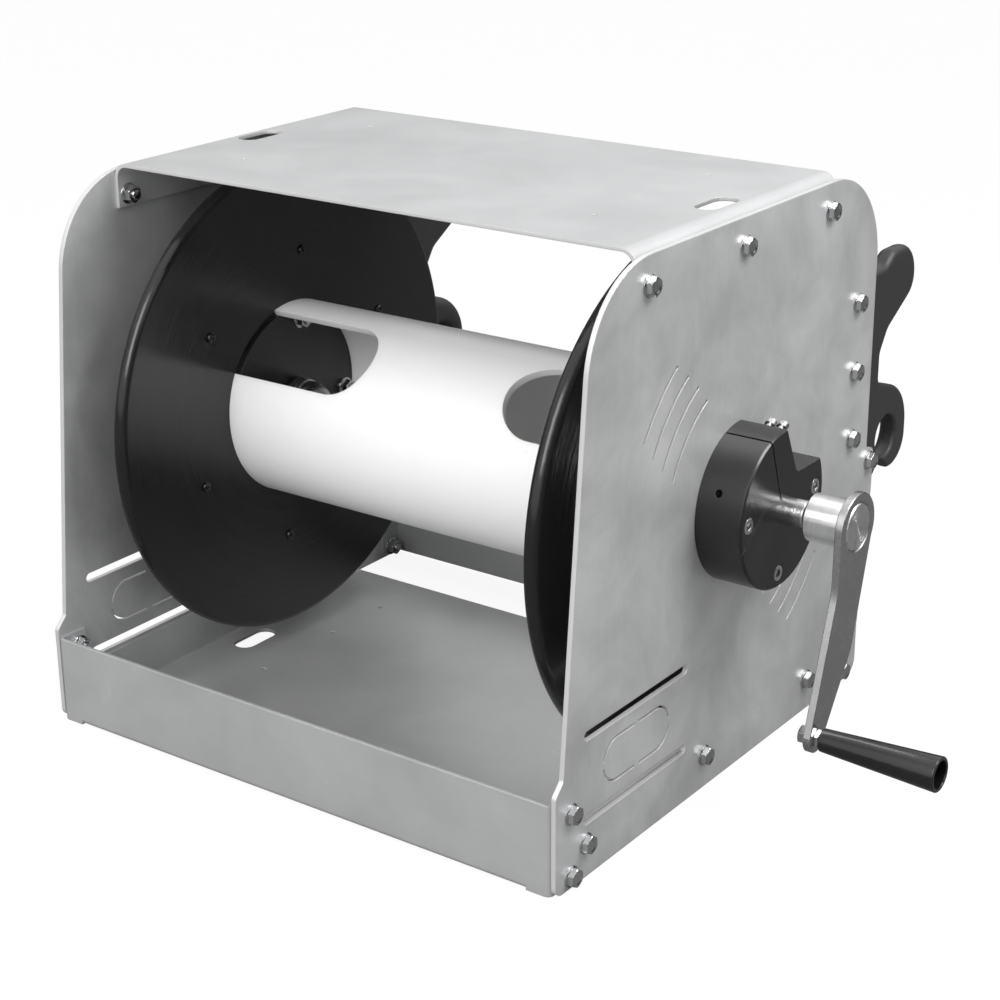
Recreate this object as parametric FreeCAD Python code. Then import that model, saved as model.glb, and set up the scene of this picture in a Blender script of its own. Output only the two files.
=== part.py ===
import FreeCAD, Part
import math
import os

from FreeCAD import Vector

# Hand-cranked hose reel in a folded sheet frame.
# Millimetres. +X points along the drum's axis to the crank, -Y to the front lip, +Z up.
# The origin is on the underside, at mid width, straight below the drum's axis.

# Sheet frame
frame_width = 501.0
plate_thickness = 4.0
plate_height = 447.0
plate_front = -242.0
plate_back = 216.5
foot_height = 85.0
foot_step = 9.5
front_lean = 33.5
shoulder_radius = 78.0
heel_height = 204.0
heel_reach = 13.0
heel_straight = 38.0
heel_foot_height = 44.0
heel_blend = (1.0, 1.5)
foot_corner_radius = 8.0
back_corner_radius = 14.0

# Drum axis
axis_height = 229.0

# Top plate
top_thickness = 3.0
top_rise = 4.7
top_depth = 288.0
top_centre = 2.0
top_flange_height = 37.0
top_bend_radius = 12.6
top_bolt_pitch = 131.0
top_bolt_drop = 22.0
top_slot_inset = 28.5
top_slot_y = 5.0
accessory_pitch_x = 336.0
accessory_pitch_y = 160.0
accessory_hole_radius = 2.5

# Base tray
tray_thickness = 3.0
tray_bend_radius = 5.0
lip_height = 73.3
lip_proud = 1.4
lip_return = 29.0
tray_back = 140.0
tray_flange_height = 40.0
tray_relief = 1.5
floor_notch = 21.0
tray_bolt_height = 28.0
tray_bolt_spots = (-39.0, 126.0)
lip_bolt_spots = ((-222.5, 60.0), (-204.0, 28.0), (-222.5, 9.6))
tray_slot_inset = 32.0
tray_slot_y = -37.5
floor_pitch_x = 338.0
floor_pitch_y = 162.0
floor_mid_y = 13.0

# Long holes in the top plate and the tray
long_hole_length = 45.0
long_hole_width = 20.0

# Rear cross member
cross_thickness = 3.0
cross_web_back = 205.0
cross_bottom = 3.0
cross_height = 60.0
cross_flange_depth = 27.0
cross_bolt_setback = 14.0
cross_bolt_inset = 7.5

# Strap slots and the knock-out in each side plate
slot_centre_y = -137.0
slot_centre_z = 80.0
slot_length = 140.0
slot_width = 8.0
slot_spread = 33.5
knockout_length = 90.0
knockout_height = 36.4
knockout_slit = 1.8
knockout_bridge = 6.0

# Ventilation arcs cut in each side plate round the axle
arc_slit_width = 2.2
arc_radii = (104.0, 122.0, 140.0, 158.0)
front_arc_span = (118.0, 156.0)
back_arc_span = (296.0, 334.0)
arc_stagger = 5.0

# Hook plates
hook_thickness = 19.0
hook_eye_radius = 18.0
hook_eye_y = 261.0
hook_eye_z = 203.0
hook_bolt_spots = ((186.0, 339.0), (186.0, 281.0), (186.0, 223.0), (221.0, 194.0))
hook_outline = (
    (170.0, 165.0, 6.0),
    (170.0, 353.5, 6.0),
    (246.0, 355.5, 14.0),
    (261.0, 366.2, 10.0),
    (301.2, 366.2, 24.5),
    (301.2, 327.0, 24.5),
    (254.0, 299.5, 16.0),
    (242.0, 281.5, 10.0),
    (242.0, 256.0, 6.0),
    (299.0, 236.9, 42.0),
    (299.0, 171.5, 26.0),
    (268.5, 171.5, 8.0),
    (253.0, 184.5, 2.5),
    (233.0, 166.0, 8.0),
)

# Flanged M8 bolts and nuts
bolt_radius = 4.0
bolt_hole_radius = 4.4
bolt_flange_radius = 8.7
bolt_flange_height = 1.8
bolt_head_height = 6.8
bolt_across_flats = 13.0
bolt_tail = 2.0
nut_height = 7.5
thread_clearance = 0.08

# Socket head screws of the bearing blocks
cap_screw_head_radius = 6.5
cap_screw_head_height = 8.0
cap_screw_recess_radius = 6.9
cap_screw_socket_flats = 6.0
cap_screw_socket_depth = 4.0

# Bearing and brake blocks
block_radius = 62.7
block_rim_bevel = 1.5
block_depth = 39.2
block_screw_radius = 51.0
brake_screw_angles = (3.0, 177.0, 267.0)
bearing_screw_angles = (45.0, 135.0, 225.0, 315.0)
running_clearance = 0.05
notch_floor_rise = 23.5
notch_top_y = -0.9
notch_top_rise = 68.7
notch_foot_y = 19.4
notch_corner_radius = 8.0
jaw_seam_angle = 109.0
jaw_seam_gap = 1.5
jaw_edge = ((-12.0, 7.7), (-29.5, 7.0), (-44.0, -4.6), (-62.0, -19.0))
jaw_edge_gap = 0.4
clamp_screw_x = (271.5, 281.5)
clamp_line_radius = 55.0
clamp_seat = 26.5
clamp_screw_radius = 2.5
clamp_head_radius = 4.25
clamp_head_height = 5.0
clamp_screw_length = 40.0
grease_hole_angle = 156.0
grease_hole_radius = 3.0
grease_hole_depth = 14.0
grease_hole_setback = 3.0

# Drum
disc_radius = 208.7
disc_thickness = 12.7
disc_rim_share = 0.46
left_disc_face = -190.5
right_disc_face = 197.0
tube_radius = 84.15
tube_wall = 7.1
tube_seat_depth = 3.0
seat_clearance = 0.1
notch_angle = 51.3
notch_width = 68.0
left_notch_reach = 130.0
right_notch_reach = 123.0
hub_radius = 140.0
hub_thickness = 5.0
hub_boss_radius = 22.0
hub_side_gap = 0.5
disc_screw_circle = 127.0
disc_screw_angle = 23.0
disc_screw_radius = 2.5
disc_screw_head_radius = 4.25
disc_screw_head_height = 2.7
disc_screw_tail = 1.0
disc_nut_flats = 8.0
disc_nut_height = 4.0
hub_bolt_inset = 9.55
hub_bolt_angles = (-9.0, 81.0, 171.0, 261.0)

# Drive shaft and crank
shaft_radius = 11.1
shaft_inner_end = 186.0
shaft_neck_radius = 10.0
shaft_neck_start = 311.0
boss_radius = 18.5
boss_start = 315.0
boss_bore_depth = 28.0
boss_chamfer = 1.2
arm_thickness = 6.35
arm_outer_face = 352.2
arm_eye_radius = 26.0
arm_tip_radius = 11.5
arm_tip_y = -49.0
arm_tip_z = 77.0
arm_edge_bevel = 0.6
arm_eye_bevel = 1.0
arm_back_waist = (9.5, 168.0, 60.0)
arm_back_knee = (-0.5, 131.0, 28.0)
arm_front_waist = (-26.5, 185.0, 60.0)
arm_tip_back = (10.0, -3.0)
arm_tip_front = (-11.3, 3.0)
crank_weld_leg = 3.0
plate_shaft_hole = 15.0

# Handle
spindle_radius = 4.0
jam_nut_height = 4.0
back_nut_height = 7.0
spindle_tail = 1.5
grip_length = 94.5
grip_play = 0.4
grip_near_radius = 8.9
grip_far_radius = 13.6
grip_end_round = 1.2
grip_rim_round = 0.8
grip_hollow_radius = 10.6
grip_hollow_depth = 34.0
spindle_head_height = 5.5

# Hollow axle, fittings and swivel
pipe_radius = 13.35
pipe_bore = 10.45
axle_inner_end = -178.5
plate_axle_hole = 17.0
collar_radius = 22.0
collar_width = 6.0
collar_gap = 0.5
collar_screw_radius = 2.5
elbow_collar_radius = 16.0
elbow_body_radius = 15.0
elbow_bend_radius = 18.0
elbow_collar_length = 12.0
elbow_start = -189.0
nipple_length = 40.0
nipple_in_elbow = 11.0
swivel_radius = 22.0
swivel_length = 42.0
swivel_cap = 8.0
swivel_end_round = 3.0
port_radius = 18.0
port_reach = 40.0
adapter_across_flats = 38.0
adapter_length = 24.0
adapter_neck_length = 12.0
inlet_thread_radius = 12.0
inlet_thread_depth = 20.0
seal_section = 1.6
seal_spots = (10.0, 22.0)

half_width = frame_width / 2
plate_inner = half_width - plate_thickness
block_face = half_width + block_depth
block_reach = 1.6 * block_radius
hub_bolt_circle = tube_radius - tube_wall - hub_bolt_inset


def on_x(x):
    """Places outline coordinates (y, z) in the plane at x."""
    return lambda u, v: Vector(x, u, v)


def on_y(y):
    """Places outline coordinates (x, z) in the plane at y."""
    return lambda u, v: Vector(u, y, v)


def on_z(z):
    """Places outline coordinates (x, y) in the plane at z."""
    return lambda u, v: Vector(u, v, z)


def rounded_face(corners, place):
    """Flat face through corners (u, v, radius); each corner is rounded by its radius."""
    pieces = []
    for index, (u, v, radius) in enumerate(corners):
        corner = Vector(u, v, 0)
        before = corners[index - 1]
        after = corners[(index + 1) % len(corners)]
        back = (Vector(before[0], before[1], 0) - corner).normalize()
        ahead = (Vector(after[0], after[1], 0) - corner).normalize()
        if radius <= 0:
            pieces.append((corner, None, corner))
            continue
        half = back.getAngle(ahead) / 2
        cut = radius / math.tan(half)
        bisector = (back + ahead).normalize()
        middle = corner + bisector * (radius / math.sin(half) - radius)
        pieces.append((corner + back * cut, middle, corner + ahead * cut))
    edges = []
    for index, (start, middle, end) in enumerate(pieces):
        last_end = pieces[index - 1][2]
        if (start - last_end).Length > 1e-6:
            edges.append(Part.LineSegment(place(last_end.x, last_end.y), place(start.x, start.y)).toShape())
        if middle is not None:
            arc = Part.Arc(place(start.x, start.y), place(middle.x, middle.y), place(end.x, end.y))
            edges.append(arc.toShape())
    return Part.Face(Part.Wire(edges))


def slab(corners, x_start, x_end):
    """Plate with the outline corners (y, z, radius), from x_start to x_end."""
    return rounded_face(corners, on_x(x_start)).extrude(Vector(x_end - x_start, 0, 0))


def rod(radius, x_start, x_end, y=0.0, z=axis_height):
    """Round bar along X."""
    low = min(x_start, x_end)
    return Part.makeCylinder(radius, abs(x_end - x_start), Vector(low, y, z), Vector(1, 0, 0))


def hexagon(across_flats, x_start, x_end, y, z):
    """Hexagonal bar along X with two corners up and down."""
    corner_radius = across_flats / math.sqrt(3)
    corners = []
    for step in range(6):
        turn = math.radians(60 * step + 30)
        corners.append((y + corner_radius * math.cos(turn), z + corner_radius * math.sin(turn), 0))
    return slab(corners, x_start, x_end)


def box(x_range, y_range, z_range):
    """Block between three pairs of limits."""
    size = (x_range[1] - x_range[0], y_range[1] - y_range[0], z_range[1] - z_range[0])
    return Part.makeBox(*size, Vector(x_range[0], y_range[0], z_range[0]))


def mirrored(shape):
    """The same piece on the other side of the reel."""
    return shape.mirror(Vector(0, 0, 0), Vector(1, 0, 0))


def joined(shapes):
    """One solid from overlapping or touching shapes."""
    return shapes[0].fuse(shapes[1:]).removeSplitter()


def on_circle(radius, angle):
    """Point (y, z) on a circle about the drum's axis; angle in degrees from +Y."""
    turn = math.radians(angle)
    return radius * math.cos(turn), axis_height + radius * math.sin(turn)


def flanged_bolt(seat, tail, y, z):
    """Flanged hexagon bolt along X with its head outside the seat."""
    outward = 1 if seat > tail else -1
    flange_end = seat + outward * bolt_flange_height
    head_end = seat + outward * bolt_head_height
    return joined([
        rod(bolt_flange_radius, seat, flange_end, y, z),
        hexagon(bolt_across_flats, flange_end, head_end, y, z),
        rod(bolt_radius, tail, seat, y, z),
    ])


def flanged_nut(seat, outward, y, z):
    """Flanged hexagon nut on a seat, outward along X."""
    flange_end = seat + outward * bolt_flange_height
    nut_end = seat + outward * nut_height
    body = joined([
        rod(bolt_flange_radius, seat, flange_end, y, z),
        hexagon(bolt_across_flats, flange_end, nut_end, y, z),
    ])
    return body.cut(rod(bolt_radius + thread_clearance, seat, nut_end, y, z))


def cap_screw(seat, tail, y, z):
    """Socket head cap screw along X; the seat is the underside of its head."""
    outward = 1 if seat > tail else -1
    head_end = seat + outward * cap_screw_head_height
    socket_floor = head_end - outward * cap_screw_socket_depth
    body = joined([
        rod(cap_screw_head_radius, seat, head_end, y, z),
        rod(bolt_radius, tail, seat, y, z),
    ])
    return body.cut(hexagon(cap_screw_socket_flats, socket_floor, head_end, y, z))


def obround(centre_u, centre_v, length_u, length_v):
    """Corners of a slot with full round ends, for rounded_face."""
    half_u = length_u / 2
    half_v = length_v / 2
    radius = min(half_u, half_v) * 0.999
    return [
        (centre_u - half_u, centre_v - half_v, radius),
        (centre_u + half_u, centre_v - half_v, radius),
        (centre_u + half_u, centre_v + half_v, radius),
        (centre_u - half_u, centre_v + half_v, radius),
    ]


def bolt_spots_of_side():
    """Every (y, z) where a flanged bolt goes through a side plate."""
    spots = [(y, top_bolt_z) for y in top_bolt_ys]
    spots += list(hook_bolt_spots)
    spots += [(y, tray_bolt_height) for y in tray_bolt_spots]
    spots += list(lip_bolt_spots)
    spots += cross_bolt_spots
    return spots


top_surface = plate_height + top_rise
top_bolt_z = plate_height - top_bolt_drop
top_bolt_ys = (-top_bolt_pitch, 0.0, top_bolt_pitch)
cross_bolt_y = cross_web_back - cross_bolt_setback
cross_bolt_spots = [
    (cross_bolt_y, cross_bottom + cross_bolt_inset),
    (cross_bolt_y, cross_bottom + cross_height - cross_bolt_inset - cross_thickness),
]


def knockout_tool(x_start, x_end):
    """Slit round the knock-out, left uncut at four bridges."""
    outer = slab(obround(slot_centre_y, slot_centre_z, knockout_length, knockout_height), x_start, x_end)
    inner_length = knockout_length - 2 * knockout_slit
    inner_height = knockout_height - 2 * knockout_slit
    inner = slab(obround(slot_centre_y, slot_centre_z, inner_length, inner_height), x_start, x_end)
    half_bridge = knockout_bridge / 2
    upright = box((x_start, x_end), (slot_centre_y - half_bridge, slot_centre_y + half_bridge),
                  (slot_centre_z - knockout_height, slot_centre_z + knockout_height))
    level = box((x_start, x_end), (slot_centre_y - knockout_length, slot_centre_y + knockout_length),
                (slot_centre_z - half_bridge, slot_centre_z + half_bridge))
    return outer.cut([inner, upright, level])


def arc_slit(radius, start_angle, end_angle, x_start, x_end):
    """Curved slit about the drum's axis between two angles."""
    inner = radius - arc_slit_width / 2
    outer = radius + arc_slit_width / 2
    middle_angle = (start_angle + end_angle) / 2
    ends = []
    for size in (inner, outer):
        points = [Vector(x_start, *on_circle(size, a)) for a in (start_angle, middle_angle, end_angle)]
        ends.append((points, Part.Arc(*points).toShape()))
    (inner_points, inner_arc), (outer_points, outer_arc) = ends
    edges = [inner_arc, Part.LineSegment(inner_points[2], outer_points[2]).toShape(),
             outer_arc, Part.LineSegment(outer_points[0], inner_points[0]).toShape()]
    face = Part.Face(Part.Wire(Part.__sortEdges__(edges)))
    return face.extrude(Vector(x_end - x_start, 0, 0))


def side_plate(shaft_hole_radius):
    """Right-hand side plate with its bolt holes, strap slots, knock-out and arcs."""
    foot_back = plate_front + foot_step
    corners = [
        (plate_front, 0, foot_corner_radius),
        (plate_front, foot_height - foot_step / 2, foot_step / 2),
        (foot_back, foot_height + foot_step / 2, foot_step / 2),
        (foot_back + front_lean, plate_height, shoulder_radius),
        (plate_back, plate_height, shoulder_radius),
        (plate_back, heel_height + heel_blend[0], heel_blend[1]),
        (plate_back + heel_reach, heel_height, heel_reach / 2),
        (plate_back + heel_reach, heel_height - heel_straight, shoulder_radius),
        (plate_back, heel_foot_height, shoulder_radius / 2),
        (plate_back, 0, back_corner_radius),
    ]
    plate = slab(corners, plate_inner, half_width)
    cuts = [rod(bolt_hole_radius, plate_inner, half_width, y, z) for y, z in bolt_spots_of_side()]
    cuts.append(rod(shaft_hole_radius, plate_inner, half_width))
    for side in (-1, 1):
        slot_z = slot_centre_z + side * slot_spread
        cuts.append(slab(obround(slot_centre_y, slot_z, slot_length, slot_width), plate_inner, half_width))
    cuts.append(knockout_tool(plate_inner, half_width))
    for span in (front_arc_span, back_arc_span):
        for index, radius in enumerate(arc_radii):
            shift = arc_stagger * index / 2
            cuts.append(arc_slit(radius, span[0] + shift, span[1] - shift, plate_inner, half_width))
    return plate.cut(cuts)


def block_screw_holes(angles, plate):
    """Side plate with the holes of one bearing block's screws."""
    spots = [on_circle(block_screw_radius, angle) for angle in angles]
    return plate.cut([rod(bolt_hole_radius, plate_inner, half_width, y, z) for y, z in spots])


def top_plate():
    """Folded top with two down-turned flanges, long holes and accessory holes."""
    flange_foot = top_surface - top_flange_height
    inner_bend = top_bend_radius - top_thickness
    under = top_surface - top_thickness
    inner_x = plate_inner - top_thickness
    section = [
        (-plate_inner, flange_foot, 0),
        (-plate_inner, top_surface, top_bend_radius),
        (plate_inner, top_surface, top_bend_radius),
        (plate_inner, flange_foot, 0),
        (inner_x, flange_foot, 0),
        (inner_x, under, inner_bend),
        (-inner_x, under, inner_bend),
        (-inner_x, flange_foot, 0),
    ]
    front = top_centre - top_depth / 2
    sheet = rounded_face(section, on_y(front)).extrude(Vector(0, top_depth, 0))
    cuts = [rod(bolt_hole_radius, -half_width, half_width, y, top_bolt_z) for y in top_bolt_ys]
    for side in (-1, 1):
        slot_x = side * (half_width - top_slot_inset)
        hole = obround(slot_x, top_slot_y, long_hole_width, long_hole_length)
        cuts.append(rounded_face(hole, on_z(under)).extrude(Vector(0, 0, top_thickness)))
        for end in (-1, 1):
            spot = Vector(side * accessory_pitch_x / 2, top_slot_y + end * accessory_pitch_y / 2, under)
            cuts.append(Part.makeCylinder(accessory_hole_radius, top_thickness, spot))
    return sheet.cut(cuts)


def base_tray():
    """Folded tray: floor, two side flanges, front lip and its two returns."""
    inner_x = plate_inner - tray_thickness
    inner_bend = tray_bend_radius - tray_thickness
    lip_front = plate_front - lip_proud
    lip_inner = lip_front + tray_thickness
    return_back = lip_front + lip_return
    flange_front = return_back + tray_relief
    floor_half = plate_inner - floor_notch

    channel = [
        (-plate_inner, tray_flange_height, 0),
        (-plate_inner, 0, tray_bend_radius),
        (plate_inner, 0, tray_bend_radius),
        (plate_inner, tray_flange_height, 0),
        (inner_x, tray_flange_height, 0),
        (inner_x, tray_thickness, inner_bend),
        (-inner_x, tray_thickness, inner_bend),
        (-inner_x, tray_flange_height, 0),
    ]
    floor = rounded_face(channel, on_y(flange_front)).extrude(Vector(0, tray_back - flange_front, 0))

    fold = [
        (flange_front, 0, 0),
        (lip_front, 0, tray_bend_radius),
        (lip_front, lip_height, 0),
        (lip_inner, lip_height, 0),
        (lip_inner, tray_thickness, inner_bend),
        (flange_front, tray_thickness, 0),
    ]
    front = slab(fold, -floor_half, floor_half)

    wrap = [
        (-plate_inner, return_back, 0),
        (-plate_inner, lip_front, tray_bend_radius),
        (plate_inner, lip_front, tray_bend_radius),
        (plate_inner, return_back, 0),
        (inner_x, return_back, 0),
        (inner_x, lip_inner, inner_bend),
        (-inner_x, lip_inner, inner_bend),
        (-inner_x, return_back, 0),
    ]
    lip = rounded_face(wrap, on_z(0)).extrude(Vector(0, 0, lip_height))
    lip = lip.cut(box((-floor_half, floor_half), (lip_front, lip_inner), (0, tray_bend_radius)))

    tray = joined([floor, front, lip])
    spots = [(y, tray_bolt_height) for y in tray_bolt_spots] + list(lip_bolt_spots)
    cuts = [rod(bolt_hole_radius, -half_width, half_width, y, z) for y, z in spots]
    for side in (-1, 1):
        slot_x = side * (half_width - tray_slot_inset)
        hole = obround(slot_x, tray_slot_y, long_hole_width, long_hole_length)
        cuts.append(rounded_face(hole, on_z(0)).extrude(Vector(0, 0, tray_thickness)))
        for y in (-floor_pitch_y / 2, floor_mid_y, floor_pitch_y / 2):
            spot = Vector(side * floor_pitch_x / 2, y, 0)
            cuts.append(Part.makeCylinder(accessory_hole_radius, tray_thickness, spot))
    return tray.cut(cuts)


def rear_cross_member():
    """Folded bar low at the back, with a flange at each end and a stiffening fold on top."""
    inner_x = plate_inner - cross_thickness
    inner_bend = tray_bend_radius - cross_thickness
    front = cross_web_back - cross_flange_depth
    web_front = cross_web_back - cross_thickness
    top = cross_bottom + cross_height
    plan = [
        (-plate_inner, front, 0),
        (-plate_inner, cross_web_back, tray_bend_radius),
        (plate_inner, cross_web_back, tray_bend_radius),
        (plate_inner, front, 0),
        (inner_x, front, 0),
        (inner_x, web_front, inner_bend),
        (-inner_x, web_front, inner_bend),
        (-inner_x, front, 0),
    ]
    bar = rounded_face(plan, on_z(cross_bottom)).extrude(Vector(0, 0, cross_height))
    fold = [
        (cross_web_back, top - cross_flange_depth, 0),
        (cross_web_back, top, tray_bend_radius),
        (front, top, 0),
        (front, top - cross_thickness, 0),
        (web_front, top - cross_thickness, inner_bend),
        (web_front, top - cross_flange_depth, 0),
    ]
    fold_half = plate_inner - floor_notch
    bar = bar.cut(box((-fold_half, fold_half), (web_front, cross_web_back), (top - tray_bend_radius, top)))
    bar = joined([bar, slab(fold, -fold_half, fold_half)])
    return bar.cut([rod(bolt_hole_radius, -half_width, half_width, y, z) for y, z in cross_bolt_spots])


def hook_plate():
    """Thick hook plate with a horn, a throat and an eye, on the right side plate's inner face."""
    inner = plate_inner - hook_thickness
    plate = slab(hook_outline, inner, plate_inner)
    cuts = [rod(bolt_hole_radius, inner, plate_inner, y, z) for y, z in hook_bolt_spots]
    cuts.append(rod(hook_eye_radius, inner, plate_inner, hook_eye_y, hook_eye_z))
    return plate.cut(cuts)


def both_sides(shapes):
    """A group of right-hand pieces and their mirrored twins."""
    return Part.makeCompound(list(shapes) + [mirrored(shape) for shape in shapes])


def plate_bolts(spots, clamped):
    """Bolts through both side plates and a clamped thickness behind them."""
    tail = plate_inner - clamped - nut_height - bolt_tail
    return both_sides([flanged_bolt(half_width, tail, y, z) for y, z in spots])


def plate_nuts(spots, clamped):
    """Nuts of plate_bolts."""
    return both_sides([flanged_nut(plate_inner - clamped, -1, y, z) for y, z in spots])


def jaw_region(gap):
    """Prism over the brake block's upper front part, which is the clamp jaw; its lower side is raised by gap."""
    seam_y, seam_z = on_circle(block_reach, jaw_seam_angle)
    lower = [(y, axis_height + rise + gap, 0) for y, rise in reversed(jaw_edge)]
    corners = [
        (0, axis_height, 0),
        (seam_y, seam_z, 0),
        (-block_reach, seam_z, 0),
        (-block_reach, lower[0][1], 0),
    ]
    return slab(corners + lower, half_width, block_face)


def brake_notch():
    """Space cut out of the block's upper back part."""
    floor = axis_height + notch_floor_rise
    above = axis_height + notch_top_rise
    corners = [
        (notch_top_y, above, 0),
        (notch_foot_y, floor, notch_corner_radius),
        (block_reach, floor, 0),
        (block_reach, above, 0),
    ]
    return slab(corners, half_width, block_face)


def block_screw_cuts(angles):
    """Screw holes and head recesses of a block."""
    cuts = []
    for angle in angles:
        y, z = on_circle(block_screw_radius, angle)
        cuts.append(rod(bolt_hole_radius, half_width, block_face, y, z))
        seat = block_face - cap_screw_head_height
        cuts.append(rod(cap_screw_recess_radius, seat, block_face, y, z))
    return cuts


def clamp_screw_parts(x):
    """Clamp screw square to the jaw's seam, and the hole that it needs."""
    outward = seam_normal() * -1
    centre = Vector(x, *on_circle(clamp_line_radius, jaw_seam_angle))
    seat = centre + outward * clamp_seat
    shank = Part.makeCylinder(clamp_screw_radius, clamp_screw_length, seat, outward * -1)
    head = Part.makeCylinder(clamp_head_radius, clamp_head_height, seat, outward)
    hole = Part.makeCylinder(clamp_screw_radius + seat_clearance, clamp_screw_length, seat, outward * -1)
    return joined([shank, head]), hole


def brake_block_and_jaw():
    """Right-hand bearing block and the clamp jaw that brakes the shaft."""
    whole = rod(block_radius, half_width, block_face)
    whole = whole.makeChamfer(block_rim_bevel, [edge for edge in whole.Edges
                                                if edge.BoundBox.XMin > block_face - 0.1])
    region = jaw_region(0)
    cuts = block_screw_cuts(brake_screw_angles)
    cuts.append(rod(shaft_radius + running_clearance, half_width, block_face))
    cuts += [clamp_screw_parts(x)[1] for x in clamp_screw_x]
    block = whole.cut([region, brake_notch()] + cuts)

    seam = box((half_width, block_face), (0, block_reach), (axis_height - jaw_seam_gap, axis_height))
    seam.rotate(Vector(0, 0, axis_height), Vector(1, 0, 0), jaw_seam_angle)
    seam_side = seam.mirror(Vector(0, 0, axis_height), seam_normal())
    y, z = on_circle(block_radius, grease_hole_angle)
    inward = Vector(0, -y, axis_height - z).normalize()
    middle_x = half_width + block_depth / 2 - grease_hole_setback
    grease_hole = Part.makeCylinder(grease_hole_radius, grease_hole_depth, Vector(middle_x, y, z), inward)
    jaw = whole.common(jaw_region(jaw_edge_gap)).cut([seam, seam_side, grease_hole] + cuts)
    return block, jaw


def seam_normal():
    """Direction square to the jaw's seam."""
    turn = math.radians(jaw_seam_angle + 90)
    return Vector(0, math.cos(turn), math.sin(turn))


def flange_disc(face, outward):
    """Drum disc with a rounded rim, a groove for the tube and its screw holes."""
    back = face + outward * disc_thickness
    disc = rod(disc_radius, face, back)
    rims = [edge for edge in disc.Edges if edge.Curve.TypeId == "Part::GeomCircle"]
    disc = disc.makeFillet(disc_thickness * disc_rim_share, rims)
    seat = face + outward * tube_seat_depth
    groove = rod(tube_radius + seat_clearance, face, seat)
    groove = groove.cut(rod(tube_radius - tube_wall - seat_clearance, face, seat))
    bore = shaft_radius if outward > 0 else pipe_radius
    cuts = [groove, rod(bore + seat_clearance, face, back)]
    for angle in disc_screw_turns():
        cuts.append(rod(disc_screw_radius + seat_clearance, face, back, *on_circle(disc_screw_circle, angle)))
    for angle in hub_bolt_angles:
        cuts.append(rod(bolt_hole_radius, face, back, *on_circle(hub_bolt_circle, angle)))
    return disc.cut(cuts)


def disc_screw_turns():
    """Angles of the six screws on each disc."""
    return [disc_screw_angle + 60 * step for step in range(6)]


def hub_plate(face, outward):
    """Round steel plate outside a disc."""
    back = face + outward * hub_thickness
    bore = shaft_radius if outward > 0 else pipe_radius
    cuts = [rod(bore + seat_clearance, face, back)]
    for angle in disc_screw_turns():
        cuts.append(rod(disc_screw_radius + seat_clearance, face, back, *on_circle(disc_screw_circle, angle)))
    for angle in hub_bolt_angles:
        cuts.append(rod(bolt_hole_radius, face, back, *on_circle(hub_bolt_circle, angle)))
    return rod(hub_radius, face, back).cut(cuts)


def hub_boss(face, outward, side_gap_face):
    """Boss on a hub plate that is welded to the shaft; it ends just clear of the side plate."""
    back = face + outward * hub_thickness
    bore = shaft_radius if outward > 0 else pipe_radius
    return rod(hub_boss_radius, back, side_gap_face).cut(rod(bore + seat_clearance, back, side_gap_face))


def disc_screws(face, outward):
    """Six button head screws through a disc and its hub plate."""
    tail = face + outward * (disc_thickness + hub_thickness + disc_nut_height + disc_screw_tail)
    top = face - outward * disc_screw_head_height
    screws = []
    for angle in disc_screw_turns():
        y, z = on_circle(disc_screw_circle, angle)
        head = rod(disc_screw_head_radius, face, top, y, z)
        rim = [edge for edge in head.Edges if abs(edge.BoundBox.Center.x - top) < 0.1]
        head = head.makeChamfer(disc_screw_head_height / 2, rim)
        screws.append(joined([head, rod(disc_screw_radius, face, tail, y, z)]))
    return Part.makeCompound(screws)


def disc_nuts(face, outward):
    """Nuts of the disc screws, on the hub plate."""
    seat = face + outward * (disc_thickness + hub_thickness)
    end = seat + outward * disc_nut_height
    nuts = []
    for angle in disc_screw_turns():
        y, z = on_circle(disc_screw_circle, angle)
        hole = rod(disc_screw_radius + thread_clearance, seat, end, y, z)
        nuts.append(hexagon(disc_nut_flats, seat, end, y, z).cut(hole))
    return Part.makeCompound(nuts)


def hub_bolts(face, outward):
    """Flanged bolts from the hub plate through the disc into the tube's inside."""
    seat = face + outward * (disc_thickness + hub_thickness)
    tail = face - outward * (nut_height + bolt_tail)
    spots = [on_circle(hub_bolt_circle, angle) for angle in hub_bolt_angles]
    return Part.makeCompound([flanged_bolt(seat, tail, y, z) for y, z in spots])


def hub_nuts(face, outward):
    """Nuts of the hub bolts, inside the tube."""
    spots = [on_circle(hub_bolt_circle, angle) for angle in hub_bolt_angles]
    return Part.makeCompound([flanged_nut(face, -outward, y, z) for y, z in spots])


def drum_tube():
    """Plastic pipe between the discs with a long notch at each end."""
    start = left_disc_face - tube_seat_depth
    end = right_disc_face + tube_seat_depth
    tube = rod(tube_radius, start, end).cut(rod(tube_radius - tube_wall, start, end))
    turn = math.radians(180 - notch_angle)
    outward = Vector(0, math.cos(turn), math.sin(turn))
    across = Vector(0, -math.sin(turn), math.cos(turn))
    base = Vector(0, 0, axis_height) + outward * (tube_radius / 2)
    depth = outward * tube_radius

    def on_tangent(u, v):
        return base + Vector(u, 0, 0) + across * v

    left_tip = left_disc_face + left_notch_reach
    right_tip = right_disc_face - right_notch_reach
    notches = []
    for open_end, tip in ((start - notch_width, left_tip), (end + notch_width, right_tip)):
        middle = (open_end + tip) / 2
        corners = obround(middle, 0, abs(tip - open_end), notch_width)
        notches.append(rounded_face(corners, on_tangent).extrude(depth))
    return tube.cut(notches)


def drive_shaft():
    """Solid shaft from inside the drum to the crank's boss, with a necked stretch."""
    neck = rod(shaft_neck_radius, shaft_neck_start, boss_start + 1)
    inner = rod(shaft_radius, shaft_inner_end, shaft_neck_start)
    outer = rod(shaft_radius, boss_start, boss_start + boss_bore_depth)
    return joined([inner, neck, outer])


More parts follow.
